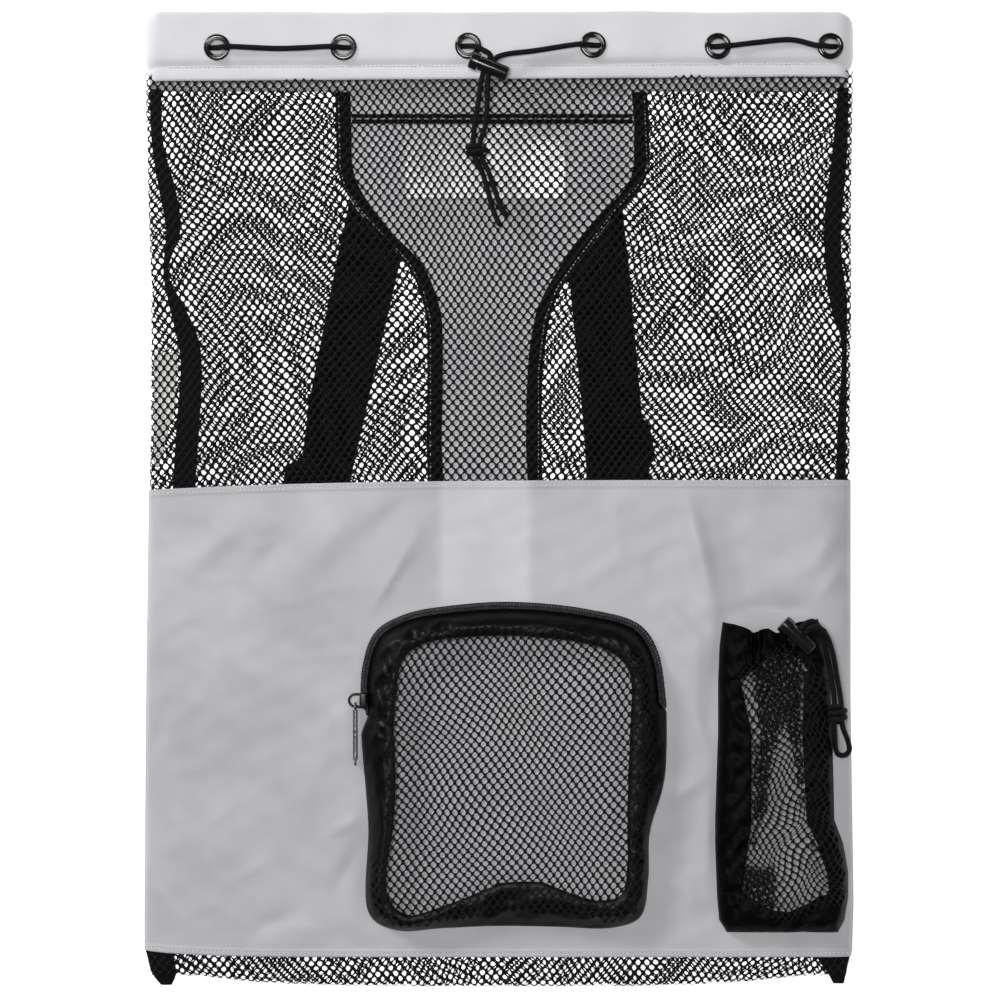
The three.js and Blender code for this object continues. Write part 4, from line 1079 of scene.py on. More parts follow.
def panel_relief(x, y):
    """The panel's folds with loose waves and thin ridges between them."""
    ridges = np.clip(1 - 2.2 * np.abs(sharp(x, y)), 0, 1) ** 1.5
    ripples = BROAD_HEIGHT * broad(x, y) + FINE_HEIGHT * fine(x, y) + RIDGE_HEIGHT * ridges
    return folds_height(PANEL_FOLDS, x, y) + ripples


print("folds on the panel:", len(PANEL_FOLDS["x"]))

# %% [markdown]
# The sheet is a grid that is finer along its two hems, where the cloth is double and the stitches pull a
# groove. Under the pockets it is left flat. An attribute marks where painted light makes it paler: over the
# yoke, where the pale yoke shows through the thin cloth, and inside the zip pocket, where it offsets the
# net's shadow. Its finish reads that, so one material is enough.

# %% Panel cloth
HEM, STITCH_IN, HEM_RAISED, GROOVE, GROOVE_HALF = 4.4, 2.7, 0.45, 0.3, 0.5
HEM_ROWS = [0, 0.7, 1.5, 2.1, 2.7, 3.3, 4.0, 4.9, 6.4]
PANEL_TALL, PANEL_LIE, PANEL_THICK, PANEL_COLUMNS, PANEL_ROWS = 310.0, 0.25, 0.7, 160, 98
OVER_YOKE, STRIP_FADE, STRIP_GAIN = (-38, 20), 4, 0.44


def panel_z(x, y):
    """Upper face of the panel, raised and grooved along its hems."""
    from_edge = np.minimum(panel_top(x) - y, y - panel_base(x))
    hem = HEM_RAISED * (1 - ease(from_edge, HEM - 0.6, HEM + 0.4))
    hem = hem - GROOVE * np.exp(-(((from_edge - STITCH_IN) / GROOVE_HALF) ** 2))
    free = ease(from_edge, -4, 22) * ease(pocket_share(x, y), 1.0, 1.12) * (1 - in_bottle(x, y))
    return front_z(x, y) + PANEL_LIE + hem + panel_relief(x, y) * fullness(x, y) * free


def panel_grid():
    """Points on the panel's upper face."""
    middle = np.linspace(9, PANEL_TALL - 9, PANEL_ROWS)
    rows = np.r_[HEM_ROWS, middle, PANEL_TALL - np.array(HEM_ROWS[::-1])] / PANEL_TALL
    nominal = np.linspace(-BAG_HALF, BAG_HALF, PANEL_COLUMNS)[:, None]
    y = panel_base(nominal) + (panel_top(nominal) - panel_base(nominal)) * rows[None]
    share = (nominal + BAG_HALF) / (2 * BAG_HALF)
    x = read(EDGES, "left", y) + (read(EDGES, "right", y) - read(EDGES, "left", y)) * share
    return np.stack([x, y, panel_z(x, y)], axis=2)


panel = dress(cloth("front_panel_cloth", panel_grid(), PANEL_THICK), PANEL_CLOTH, "grey_cloth", "front_panel")
places = np.array([point.co[:] for point in panel.data.vertices]) * 1000
# Painted light: a strip over the yoke and the inside of the zip pocket are marked to be drawn paler
strip_start, strip_end = (ease(places[:, 0], x - STRIP_FADE, x + STRIP_FADE) for x in OVER_YOKE)
over_yoke = strip_start * (1 - strip_end) * ease(places[:, 1], -300, -60)
in_pocket = 1 - ease(pocket_share(places[:, 0], places[:, 1]), 0.86, 0.97)
painted_light = np.maximum(STRIP_GAIN * over_yoke, in_pocket)
panel.data.attributes.new("painted_light", "FLOAT", "POINT").data.foreach_set("value", painted_light.astype(np.float32))
print(panel.name, triangles(panel), "triangles")

# %% [markdown]
# ## Back: yoke, tapes and straps
# A grey cloth yoke stiffens the back, wide at the mouth and narrow below. A plane cut to its outline would
# need many points along the curves, so it is a grid between two columns of its chart. Two low folds lie
# where its cloth is slack.

# %% Yoke cloth
YOKE_FOLDS = chart("""
x y turn length width height
54 219 90 30 22 2.6
-78 219 90 34 36 2.8
""")
YOKE_THICK, YOKE_COLUMNS, YOKE_ROWS = 0.8, 40, 200
yoke_wave, yoke_ripple = waves(61, 70), waves(62, 22)


def yoke_top(x, y):
    """Upper face of the yoke, with low folds where its cloth is slack."""
    slack = ease(inset(YOKE, x, y), 10, 26) * (1 - ease(y, 236, 246))
    relief = 0.25 * yoke_wave(x, y) + 0.075 * yoke_ripple(x, y)
    return back_z(x, y) + relief + folds_height(YOKE_FOLDS, x, y) * slack


yoke_y = np.linspace(YOKE_END, BACK_EDGE + TUCK, YOKE_ROWS)[None]
yoke_left, yoke_right = read(YOKE, "left", yoke_y), read(YOKE, "right", yoke_y)
yoke_x = yoke_left + (yoke_right - yoke_left) * np.linspace(0, 1, YOKE_COLUMNS)[:, None]
yoke_y = np.broadcast_to(yoke_y, yoke_x.shape)
yoke_grid = np.stack([yoke_x, yoke_y, yoke_top(yoke_x, yoke_y)], axis=2)
yoke = dress(cloth("yoke_cloth", yoke_grid, YOKE_THICK), YOKE_CLOTH, "grey_cloth", "yoke_panel")
print(yoke.name, triangles(yoke), "triangles")

# %% [markdown]
# ### Film patch
# A smooth blank patch of film is bonded to the yoke below its upper edge, and shines through the net. It
# could be a paler spot in the yoke's finish, but its gloss would then follow the weave, so it is a thin
# sheet of its own that lies on the yoke's folds.

# %% Film patch
PATCH_X, PATCH_Y, PATCH_THICK, PATCH_GAP = (-61.8, 44.5), (196.0, 245.2), 0.3, 0.1
patch_x, patch_y = np.meshgrid(np.linspace(*PATCH_X, 64), np.linspace(*PATCH_Y, 32), indexing="ij")
patch_grid = np.stack([patch_x, patch_y, yoke_top(patch_x, patch_y) + PATCH_THICK + PATCH_GAP], axis=2)
patch = dress(cloth("yoke_patch_film", patch_grid, PATCH_THICK), PATCH_FILM, "label_cloth")
print(patch.name, round(np.ptp(PATCH_X), 1), "x", round(np.ptp(PATCH_Y), 1), "mm")

# %% [markdown]
# ### Tapes of the yoke
# Black tape binds the yoke's two edges, and a narrow one crosses it near the top with a ruffled edge above
# it. A flat strip would look like paper, so a tape is a row of flat rounded sections, whose edges catch the
# light.

# %% Tapes of the yoke
BINDING, TAPE_THICK, TAPE_GAP, TAPE_SAG = 10.0, 1.2, 0.3, 0.35
BINDING_STEPS, BINDING_KNOTS = 261, 13
tape_wave = waves(63, 60)


def flat_section(points=6, power=0.5):
    """A flat rounded section of unit half width and unit height."""
    turn = np.linspace(0, 2 * math.pi, 4 * points, endpoint=False)
    wide = np.sign(np.cos(turn)) * np.abs(np.cos(turn)) ** power
    return wide, (np.sign(np.sin(turn)) * np.abs(np.sin(turn)) ** power + 1) / 2


def tape(name, left, right, floor_at, y, thick, sag=0.0):
    """Flat band between two lines over heights y, lying on floor_at."""
    wide, high = flat_section()
    middle, half = (left + right) / 2, (right - left) / 2
    x = middle[:, None] + half[:, None] * wide[None]
    tall = np.broadcast_to(y[:, None], x.shape)
    z = floor_at(x, tall) + thick * high[None] - sag * (wide[None] ** 2)
    return loft(name, np.stack([x, tall, z], axis=2))


def on_yoke(x, y):
    """Underside of the tape along the yoke."""
    return back_z(x, y) + TAPE_GAP + 0.2 * tape_wave(x, y)


binding_y = np.linspace(YOKE_END, BACK_EDGE - 0.4, BINDING_STEPS)
bindings = []
for side, into in INTO_BAG.items():
    route = np.c_[read(YOKE, side, binding_y), binding_y, 0 * binding_y][::BINDING_KNOTS]
    edge = spline(route, BINDING_KNOTS)
    edge_y = np.clip(edge[::-1][:, 1], YOKE_END, BACK_EDGE - 0.4)
    edge_x = np.interp(edge_y, edge[:, 1], edge[:, 0]) + 0.4 * tape_wave(edge_y, edge_y * 0.3)
    start, end = sorted([0.0, into * BINDING])
    made = tape(f"yoke_binding_{side}_tape", edge_x + start, edge_x + end, on_yoke, edge_y,
                TAPE_THICK, TAPE_SAG)
    bindings.append(dress(made, TAPE, "black_tape", f"yoke_binding_{side}"))
print("bindings:", sum(map(triangles, bindings)), "triangles")

# %% [markdown]
# The tape across the yoke runs the other way, so its sections follow each other along X. The ruffle is the
# same tape with its height waving.

# %% Tape across the yoke
BAR_STEPS = 160
bar_x = np.linspace(-96.2, 87.2, BAR_STEPS)
ruffle = waves(64, 9)


def bar(name, middle, half, ruffled):
    """Tape across the yoke, with ruffles of a height in millimetres."""
    wide, high = flat_section()
    lift = ruffled * (1 + ruffle(bar_x, 0 * bar_x)) / 2
    shape = (BAR_STEPS, len(wide))
    y = middle + half * wide[None] + 0.5 * lift[:, None]
    z = BACK_TOP + TAPE_GAP + TAPE_THICK * high[None] + lift[:, None]
    x = np.broadcast_to(bar_x[:, None], shape)
    return loft(name, np.stack([x, np.broadcast_to(y, shape), z], axis=2))


crossbar = dress(bar("yoke_crossbar_tape", 246.9, 1.4, 0.0), TAPE, "black_tape", "yoke_crossbar")
crossbar_ruffle = dress(bar("yoke_crossbar_ruffle", 250.3, 1.3, 0.8), TAPE, "black_tape")
print("crossbar:", triangles(crossbar) + triangles(crossbar_ruffle), "triangles")

# %% [markdown]
# ### Shoulder straps
# Each strap is one length of woven webbing that crosses the back from near the mouth to near the base. It
# could be a curve with a flat bevel, but its edges step in and out where it is sewn double, so its two
# edges are charted.

# %% Shoulder straps
STRAPS = {"left": chart("""
y left right
247 -87 -46
157 -106.5 -64.5
62 -125 -86.5
28 -129 -94
22 -140 -95.5
-20 -146 -103
-40 -143 -107
-290 -195 -157
"""), "right": chart("""
y left right
247 37 75
145 46 86
53 55 94
48 55.3 99
29 56.6 102.5
20 57.2 98.5
-40 62 101
-290 84 122
""")}
STRAP_LOW, STRAP_HIGH, STRAP_STEPS = -290, 247, 270
STRAP_THICK, STRAP_LIFT, STRAP_RAMP = 3.8, 5.2, 70.0
strap_y = np.linspace(STRAP_LOW, STRAP_HIGH, STRAP_STEPS)
near_end = np.minimum(STRAP_HIGH - strap_y, strap_y - STRAP_LOW) / STRAP_RAMP
strap_lift = STRAP_LIFT * (1 - ease(near_end, 0.1, 1))
straps = []
for side, table in STRAPS.items():
    made = tape(f"strap_{side}_webbing", read(table, "left", strap_y), read(table, "right", strap_y),
                lambda x, y: np.interp(y, strap_y, strap_lift), strap_y, STRAP_THICK)
    straps.append(dress(made, WEBBING, "webbing", f"strap_{side}"))
print("straps:", sum(map(triangles, straps)), "triangles")

# %% [markdown]
# ### Side seams
# The raw edges of the side seams are bound with tape, which wanders inside the limp net. A curve with a
# bevel has one width, but here it narrows where the tape turns on edge, so a chart gives the tape's middle
# and width.

# %% Side seam tapes
SEAMS = {"left": chart("""
y middle width
267 -223.6 7.8
232 -222.3 7.8
202 -216 11
177 -212 9.8
147 -216.8 3.4
128 -210.6 9
109 -203.8 13.7
92 -200.5 13.7
39 -203 15
-130 -215 10.4
-280 -221 13
-293 -222 18
-304 -219.5 18
-311 -218 14
-316.5 -217 7
"""), "right": chart("""
y middle width
268 224 7.2
228 222 9.8
186 217.8 11.7
161 217.4 11
130 221 11.7
104 225 5
85 225 4
46 223.5 6.5
-130 222 9
-280 221 10.4
-293 217.5 24
-303 219.8 19.5
-309 221.5 14
-315.5 221.5 7
""")}
SEAM_DROP, SEAM_SAG = 2.7, 0.3
SEAM_MARGIN, CORNER_MARGIN = 3, 0.4  # kept free inside the bag's edge, along the sides and at the base
seams = []
for side, table in SEAMS.items():
    outward = -INTO_BAG[side]
    middle, y, width = spline(np.c_[table["middle"], table["y"], table["width"]], 12).T
    margin = SEAM_MARGIN - (SEAM_MARGIN - CORNER_MARGIN) * ease(-y, 280, 293)
    limit = read(EDGES, side, y) - outward * margin
    near, far = middle - outward * width / 2, middle + outward * width / 2
    far = np.where(outward * far > outward * limit, limit, far)
    made = tape(f"seam_binding_{side}_tape", np.minimum(near, far), np.maximum(near, far),
                lambda x, y: front_z(x, y) - SEAM_DROP, y, TAPE_THICK, SEAM_SAG)
    seams.append(dress(made, TAPE, "black_tape", f"seam_binding_{side}"))
print("seam tapes:", sum(map(triangles, seams)), "triangles")

# %% [markdown]
# ### Label
# A blank satin label is caught in the left seam and hangs behind the net. A plane would do, but its lower
# end is folded back, so a chart narrows it towards there.

# %% Label
LABEL = chart("""
y width
96 15.5
60 14.5
46 10
30 6
21 3
""")
LABEL_X, LABEL_LOW, LABEL_HIGH = -225, 21, 96
LABEL_COLUMNS, LABEL_ROWS, LABEL_THICK, LABEL_DROP = 12, 28, 0.4, 1.9
label_share = np.linspace(0, 1, LABEL_COLUMNS)[:, None]
label_y = np.linspace(LABEL_LOW, LABEL_HIGH, LABEL_ROWS)[None] + 0 * label_share
label_x = LABEL_X + read(LABEL, "width", label_y) * label_share
label_z = front_z(label_x, label_y) - LABEL_DROP + 0.3 * waves(71, 30)(label_x, label_y)
label = cloth("care_label_cloth", np.stack([label_x, label_y, label_z], axis=2), LABEL_THICK)
dress(label, LABEL_CLOTH, "label_cloth", "care_label")
print(label.name, triangles(label), "triangles")

# %% [markdown]
# ## Mouth band
# The band is a doubled casing of pale cloth that the drawcord runs in. Its lower edge is a flat hem under a
# row of stitches, and the channel above it stands a little proud. It could be two sheets sewn together, but
# it is closed all round, so one section is carried round the mouth, with small puckers along the stitches.
# Six blind holes are then cut into it for the eyelets.

# %% Band
# Each point of the section: share of the band's height, distance out from the channel's inner wall
BAND_SECTION = [(0.01, 0.3), (0, 1.3), (0.04, 1.9), (0.11, 2.2), (0.17, 2.1), (0.195, 1.8), (0.22, 2.2),
                (0.26, 3.5), (0.32, 4.5), (0.42, 4.85), (0.6, 4.9), (0.78, 4.85), (0.88, 4.5), (0.95, 3.6),
                (0.99, 2.3), (1, 1.2), (0.98, 0.2), (0.92, -0.7), (0.84, -1.2), (0.6, -1.3), (0.3, -1.3),
                (0.03, -1.2)]
FLAT_STEPS, BEND_STEPS = 200, 10
PUCKER_AT, PUCKER_WIDE = 0.22, 0.14  # shares of the band's height
BAND_SOFT, BAND_PUCKER, BAND_LIP = 0.35, 0.3, 0.4
HOLE_RADIUS, HOLE_DEPTH, HOLE_SINK = 5.8, 8.0, 0.3
band_wave, pucker_wave, edge_wave = waves(81, 70), waves(82, 14), waves(83, 90)


def band_stations():
    """Places round the mouth, each with the turn of its outward direction."""
    flat = np.linspace(-END_X, END_X, FLAT_STEPS, endpoint=False)
    bend = np.linspace(0, math.pi, BEND_STEPS, endpoint=False)
    return ([(x, 0.0) for x in flat] + [(END_X, t) for t in bend]
            + [(-x, math.pi) for x in flat] + [(-END_X, math.pi + t) for t in bend])


def band_ring(x, turn):
    """The band's section at one station, softened and puckered on its outside."""
    out_x, out_z = math.sin(turn), math.cos(turn)
    low = BACK_EDGE + (float(band_edge(x)) - BACK_EDGE) * (1 + out_z) / 2
    top = MOUTH_Y - 2.5 * abs(out_x) - BAND_LIP + 0.5 * float(edge_wave(x, 0.0))
    ring = []
    for share, out in BAND_SECTION:
        y = low + share * (top - low)
        outside = max(0.0, min(1.0, out / 3))
        pucker = BAND_PUCKER * pucker_wave(x, y * 0.3) * math.exp(-(((share - PUCKER_AT) / PUCKER_WIDE) ** 2))
        soft = float(BAND_SOFT * band_wave(x + 40 * out_z, y) + pucker) - BAND_SOFT
        reach = END_RADIUS + out + outside * soft * abs(out_z)
        ring.append((x + out_x * reach, y, SEAM_Z + out_z * reach))
    return ring


def combine(piece, other, operation):
    """Joins another body to a piece with UNION, or cuts it out with DIFFERENCE, and removes it."""
    apply_modifier(piece, "BOOLEAN", object=other, operation=operation, solver="EXACT")
    bpy.data.objects.remove(other)


band = loft("mouth_band_cloth", np.array([band_ring(x, turn) for x, turn in band_stations()]), ring=True)
for x, y in EYELETS:
    hole = primitive(bpy.ops.mesh.primitive_cylinder_add, vertices=28, radius=HOLE_RADIUS / 1000,
                     depth=HOLE_DEPTH / 1000, location=(x / 1000, y / 1000, (BAND_FACE - HOLE_SINK) / 1000))
    combine(band, hole, "DIFFERENCE")
apply_modifier(band, "WEIGHTED_NORMAL", keep_sharp=True)
dress(band, BAND_CLOTH, "band_cloth", "mouth_band")
print(band.name, triangles(band), "triangles")

# %% [markdown]
# ## Eyelets
# Six painted brass eyelets are pressed through the band, each a rolled flange with a smaller lip inside it.
# A spun profile would do as well, but both rolls are plain rings, so two rings are flattened and joined
# into one body. It is modelled once, and each eyelet is a copy with its own mesh.

# %% Eyelets
FLANGE_RING, LIP_RING, RING_FLAT = (6.95, 1.65), (5.75, 0.8), 0.72
FLANGE_LIFT, LIP_LIFT = 0.3, 0.75


def wire_ring(sizes, around, across):
    """A ring about Z; sizes are its radius and its wire's, and around and across count its faces."""
    return primitive(bpy.ops.mesh.primitive_torus_add, major_segments=around, minor_segments=across,
                     major_radius=sizes[0] / 1000, minor_radius=sizes[1] / 1000)


def rolled_ring(sizes, lift):
    """A flattened ring at a height over the band."""
    made = wire_ring(sizes, 56, 18)
    bpy.ops.object.mode_set(mode="EDIT")
    bpy.ops.mesh.select_all(action="SELECT")
    bpy.ops.transform.resize(value=(1, 1, RING_FLAT))
    bpy.ops.transform.translate(value=(0, 0, lift / 1000))
    bpy.ops.object.mode_set(mode="OBJECT")
    return made


def smooth_edges(piece, degrees=35):
    """Smooth shading that keeps the edges sharper than an angle."""
    pick(piece)
    bpy.ops.object.shade_smooth_by_angle(angle=math.radians(degrees))


def moved(x, y, z, turn=0.0):
    """Matrix for a turn about Z in degrees and a move in millimetres."""
    return Matrix.Translation((x / 1000, y / 1000, z / 1000)) @ Matrix.Rotation(math.radians(turn), 4, "Z")


def placed_copy(source, name, matrix):
    """A copy with its own mesh, moved into place."""
    mesh = source.data.copy()
    mesh.transform(matrix)
    made = bpy.data.objects.new(name, mesh)
    bpy.context.scene.collection.objects.link(made)
    return made


eyelet = rolled_ring(FLANGE_RING, FLANGE_LIFT)
combine(eyelet, rolled_ring(LIP_RING, LIP_LIFT), "UNION")
smooth_edges(eyelet)
eyelets = []
for number, (x, y) in enumerate(EYELETS, 1):
    made = placed_copy(eyelet, f"eyelet_ring_{number}", moved(x, y, BAND_FACE))
    eyelets.append(dress(made, EYELET_PAINT, "eyelet_enamel", f"eyelet_{number}"))
bpy.data.objects.remove(eyelet)
print("eyelets:", len(eyelets), "of", triangles(eyelets[0]), "triangles")

# %% [markdown]
# ## Cord locks
# Each lock is a moulded barrel, bored from one end, with a spring plunger in the bore. Both are a round
# cup: a cylinder with one end rounded by a bevel, and the other inset and pushed in. They could be spun
# from a profile, but inset and extrude keep the wall's thickness as one number.

# %% Parts of a lock
CUP_SIDES, ROUND_STEPS = 48, 4
END_TOLERANCE = 0.01


def bar_along_x(radius, start, end):
    """A cylinder along X."""
    made = primitive(bpy.ops.mesh.primitive_cylinder_add, vertices=CUP_SIDES, radius=radius / 1000,
                     depth=(end - start) / 1000)
    middle = Matrix.Translation(((start + end) / 2000, 0, 0))
    made.data.transform(middle @ Matrix.Rotation(math.pi / 2, 4, "Y"))
    return made


def edit_end(piece, end):
    """Enters edit mode with only the face at one end of a cylinder selected."""
    pick(piece)
    bpy.ops.object.mode_set(mode="EDIT")
    bpy.ops.mesh.select_mode(type="FACE")
    bpy.ops.mesh.select_all(action="DESELECT")
    bpy.ops.object.mode_set(mode="OBJECT")
    for face in piece.data.polygons:
        face.select = abs(face.center.x * 1000 - end) < END_TOLERANCE
    bpy.ops.object.mode_set(mode="EDIT")


def round_cup(radius, bore, closed, rim, floor_at, rounding):
    """A cylinder along X with a rounded closed end and a bore from its rim down to a floor."""
    cup = bar_along_x(radius, min(closed, rim), max(closed, rim))
    edit_end(cup, closed)
    bpy.ops.mesh.bevel(offset=rounding / 1000, segments=ROUND_STEPS, affect="EDGES")
    bpy.ops.object.mode_set(mode="OBJECT")
    edit_end(cup, rim)
    bpy.ops.mesh.inset(thickness=(radius - bore) / 1000)
    bpy.ops.mesh.extrude_region_move(TRANSFORM_OT_translate={"value": ((floor_at - rim) / 1000, 0, 0)})
    bpy.ops.object.mode_set(mode="OBJECT")
    return cup


def block(size, place):
    """A cube stretched to a size about a place."""
    made = primitive(bpy.ops.mesh.primitive_cube_add, size=1)
    made.data.transform(Matrix.Translation(Vector(place) / 1000)
                        @ Matrix.Diagonal([side / 1000 for side in size] + [1]))
    return made


print("lock parts: cylinders of", CUP_SIDES, "sides")

# %% [markdown]
# A slot goes through both parts, and the spring pinches the cords in it. The plunger's cap has a skirt that
# slides over the barrel's rim when it is pressed, and its stem fills the bore. The slot in the stem is
# longer by the travel, so that the cords stay free of it in every pose.

# %% Cord locks
LOCK_RADIUS, LOCK_BORE, LOCK_RIM, LOCK_FLOOR, LOCK_END, LOCK_ROUND = 4.7, 3.5, -6.7, 11.6, 13.0, 1.4
LOCK_TRAVEL, LOCK_PLAY, STEM_RADIUS = 3.0, 0.3, 3.15
HEAD_RADIUS, HEAD_BORE, HEAD_THICK, HEAD_ROUND, SKIRT_GAP = 5.7, 5.0, 3.0, 1.2, 0.6
SLOT_LENGTH, SLOT_HEIGHT = 8.0, 4.1
head_face, skirt_end = LOCK_RIM - LOCK_TRAVEL - LOCK_PLAY, LOCK_RIM - SKIRT_GAP

barrel = round_cup(LOCK_RADIUS, LOCK_BORE, LOCK_END, LOCK_RIM, LOCK_FLOOR, LOCK_ROUND)
plunger = round_cup(HEAD_RADIUS, HEAD_BORE, head_face - HEAD_THICK, skirt_end, head_face, HEAD_ROUND)
combine(plunger, bar_along_x(STEM_RADIUS, head_face - 1, LOCK_FLOOR - LOCK_TRAVEL - LOCK_PLAY), "UNION")
for part, length, shift in ((barrel, SLOT_LENGTH, 0), (plunger, SLOT_LENGTH + LOCK_TRAVEL, -LOCK_TRAVEL / 2)):
    combine(part, block((length, 4 * LOCK_RADIUS, SLOT_HEIGHT), (shift, 0, 0)), "DIFFERENCE")

locks = []
for name, solid, (place, turn), body in (("mouth_lock", "cord_lock", MOUTH_LOCK, "mouth_plunger"),
                                         ("bottle_lock", "bottle_lock", BOTTLE_LOCK, "bottle_plunger")):
    for source, part, rides in ((barrel, "body", "bag"), (plunger, "plunger", body)):
        made = placed_copy(source, f"{name}_{part}_moulding", moved(*place, turn))
        smooth_edges(made)
        locks.append(dress(made, LOCK_PLASTIC, "lock_plastic", f"{solid}_{part}", body=rides))
bpy.data.objects.remove(barrel)
bpy.data.objects.remove(plunger)
print("locks:", [(piece.name, triangles(piece)) for piece in locks])

# %% [markdown]
# ## Zip pocket
# The border is thin nylon that slopes up from the panel, creased all round because it is eased onto the
# curve. A bevelled edge would be too smooth for that, so it is a strip of cloth round the outline with
# ridges across it, turned in along its upper edge.

# %% Pocket border
BORDER_SHARES = np.linspace(0, 1, 16)
BORDER_START, BORDER_SINK, BORDER_THICK = 0.7, 0.2, 0.7
CRINKLE_HEIGHT, CRUMPLE_HEIGHT, CREASE_MEAN = 2.2, 1.0, 0.6
LIP_RETURN = [(2.0, 0.3), (3.5, 1.2)]  # further in, down
crinkle, crumple = waves(91, 22), waves(92, 10)


def pocket_ring(reach, height):
    """Points round the pocket at distances inward from its outline."""
    ring = outline + inward * np.reshape(reach, (-1, 1))
    ring[:, 2] = height
    return ring


def border_rise(share):
    """Share of the pocket's depth at a share of the way over the border."""
    return 1 - (1 - share) ** 2.2


def border_grid():
    """Rings of points from the border's turned-in edge down to the panel."""
    rings = []
    for share in BORDER_SHARES:
        level = POCKET_Z + BORDER_START + (POCKET_DEPTH - BORDER_START) * border_rise(share)
        ring = pocket_ring(lips + (borders - lips) * share, level)
        x, y = ring[:, 0], ring[:, 1]
        creases = CRINKLE_HEIGHT * (CREASE_MEAN - np.abs(crinkle(x, y)))
        creases = creases + CRUMPLE_HEIGHT * (CREASE_MEAN - np.abs(crumple(x, y)))
        ring[:, 2] += creases * 4 * share * (1 - share) - BORDER_SINK
        rings.append(ring)
    for more, down in LIP_RETURN:
        rings.append(pocket_ring(borders + more, POCKET_Z + POCKET_DEPTH - BORDER_SINK - down))
    return np.stack(rings, axis=1)[::-1]


grid = border_grid()
border = mesh_piece("pocket_border_cloth", grid.reshape(-1, 3), quads(*grid.shape[:2], ring=True))
apply_modifier(border, "SOLIDIFY", thickness=BORDER_THICK / 1000, offset=-1.0)
dress(border, NYLON, "nylon", "pocket_gusset")
print(border.name, triangles(border), "triangles")

# %% [markdown]
# The net face is sewn into the border's upper edge and sags towards the middle. At the right and below, the
# net goes on over the border. One net that changes its height is simpler than two that would have to meet.

# %% Pocket face
FACE_SINK, FACE_RIPPLE, FACE_LIE = 0.6, 0.4, 2.2
face_ripple = waves(93, 55)


def over_border(x, y):
    """Share of the way over the border, 0 on the pocket's outline and 1 at the net face."""
    outer, inner = pocket_share(x, y), face_share(x, y)
    return np.clip((1 - outer) / np.maximum(1 - outer / inner, 1e-6), 0, 1)


def face_z(x, y):
    """Middle of the net: it sags inside the border and lies on it further out."""
    sag = POCKET_SAG * (1 - np.minimum(face_share(x, y), 1) ** 2)
    hung = POCKET_Z + POCKET_DEPTH - FACE_SINK - sag + FACE_RIPPLE * face_ripple(x, y)
    laid = POCKET_Z + FACE_LIE + (POCKET_DEPTH - BORDER_START) * border_rise(over_border(x, y))
    return np.where(face_share(x, y) < 1, hung, laid)


def on_face(x, y):
    """The net face, and the net that goes on over the border at the right and below."""
    right_or_below = (x > 76) & (y < -100) | (y < -236)
    further = (over_border(x, y) > 0.4) & right_or_below & (pocket_share(x, y) < 1)
    return (face_share(x, y) < 1.03) | further


face = net("pocket_face_knit", (-90, 110, -282, -62), on_face, face_z, 2.0, (0.97, 0.98),
           drifting(94, 70, 2.2))
dress(face, NET_YARN, "net", "pocket_face")
print(face.name, triangles(face), "triangles")

# %% [markdown]
# ### Zip
# The zip is a nylon coil on a narrow tape, closed over the arch. A row of separate teeth would suit a metal
# zip, but a coil is one long spiral of thick thread, so it is made as a spiral tube. A real coil is finer,
# but its turns would not show.

# %% Zip tape and coil
FLANGE, FLANGE_OVER, FLANGE_THICK, COIL_RADIUS = 4.6, 0.8, 0.8, 1.4
ZIP_START, FLANGE_START, ZIP_END = 18.57, 18.0, 27.65  # rows of the pocket's chart
COIL_PITCH, COIL_WIRE, COIL_POINTS, COIL_GAP, TAPE_TAPER = 1.9, 0.42, 10, 0.3, 9.0


def zip_line(start, reach, height):
    """The outline from one row on over the arch to the zip's end, moved inward."""
    rows = np.arange(round(start * SPAN), round(ZIP_END * SPAN) + 1) % len(outline)
    line = outline[rows] + inward[rows] * reach
    line[:, 2] = height
    return line


tape_run = np.r_[0, np.cumsum(np.linalg.norm(np.diff(zip_line(FLANGE_START, 0, 0), axis=0), axis=1))]
tape_outer = (FLANGE - 1) * (1 - ease(tape_run, 0, TAPE_TAPER))
tape_wide = FLANGE + FLANGE_OVER - tape_outer
flange_rows = [zip_line(FLANGE_START, (tape_outer + tape_wide * share)[:, None], POCKET_Z + FLANGE_THICK)
               for share in np.linspace(1, 0, 6)]
flange = cloth("zip_tape_cloth", np.stack(flange_rows, axis=1), FLANGE_THICK)
dress(flange, NYLON, "nylon", "pocket_flange")
coil_z = POCKET_Z + FLANGE_THICK + COIL_GAP + COIL_RADIUS
coil_line = evenly(zip_line(ZIP_START, COIL_RADIUS + COIL_GAP, coil_z), COIL_PITCH / COIL_POINTS)
across, up = frames(coil_line)
turn = np.arange(len(coil_line)) * 2 * math.pi / COIL_POINTS
spiral = coil_line + (COIL_RADIUS - COIL_WIRE) * (np.cos(turn)[:, None] * across + np.sin(turn)[:, None] * up)
coil = dress(tube("zip_coil_thread", spiral, COIL_WIRE, 6), ZIP_NYLON, "zip_teeth", "zip_coil")
print("zip:", round(path_length(coil_line)), "mm,", triangles(coil), "triangles")

# %% [markdown]
# ### Slider and puller
# The slider is a small zinc casting at the zip's lower left end, with a wire bridge that carries the
# puller. The casting is one piece, so a cube with bevelled edges, half a ring and two short bars are joined
# into one body.

# %% Slider
SLIDER, SLIDER_SIZE, SLIDER_ROUND = (-88.2, -130.3, 25.9), (4.6, 10.0, 5.0), 1.0
BRIDGE_RADIUS, BRIDGE_WIRE, BRIDGE_LEG = 4.0, 0.8, 2.8
HINGE = (SLIDER[0] - SLIDER_SIZE[0] / 2 - BRIDGE_LEG, SLIDER[1], SLIDER[2])

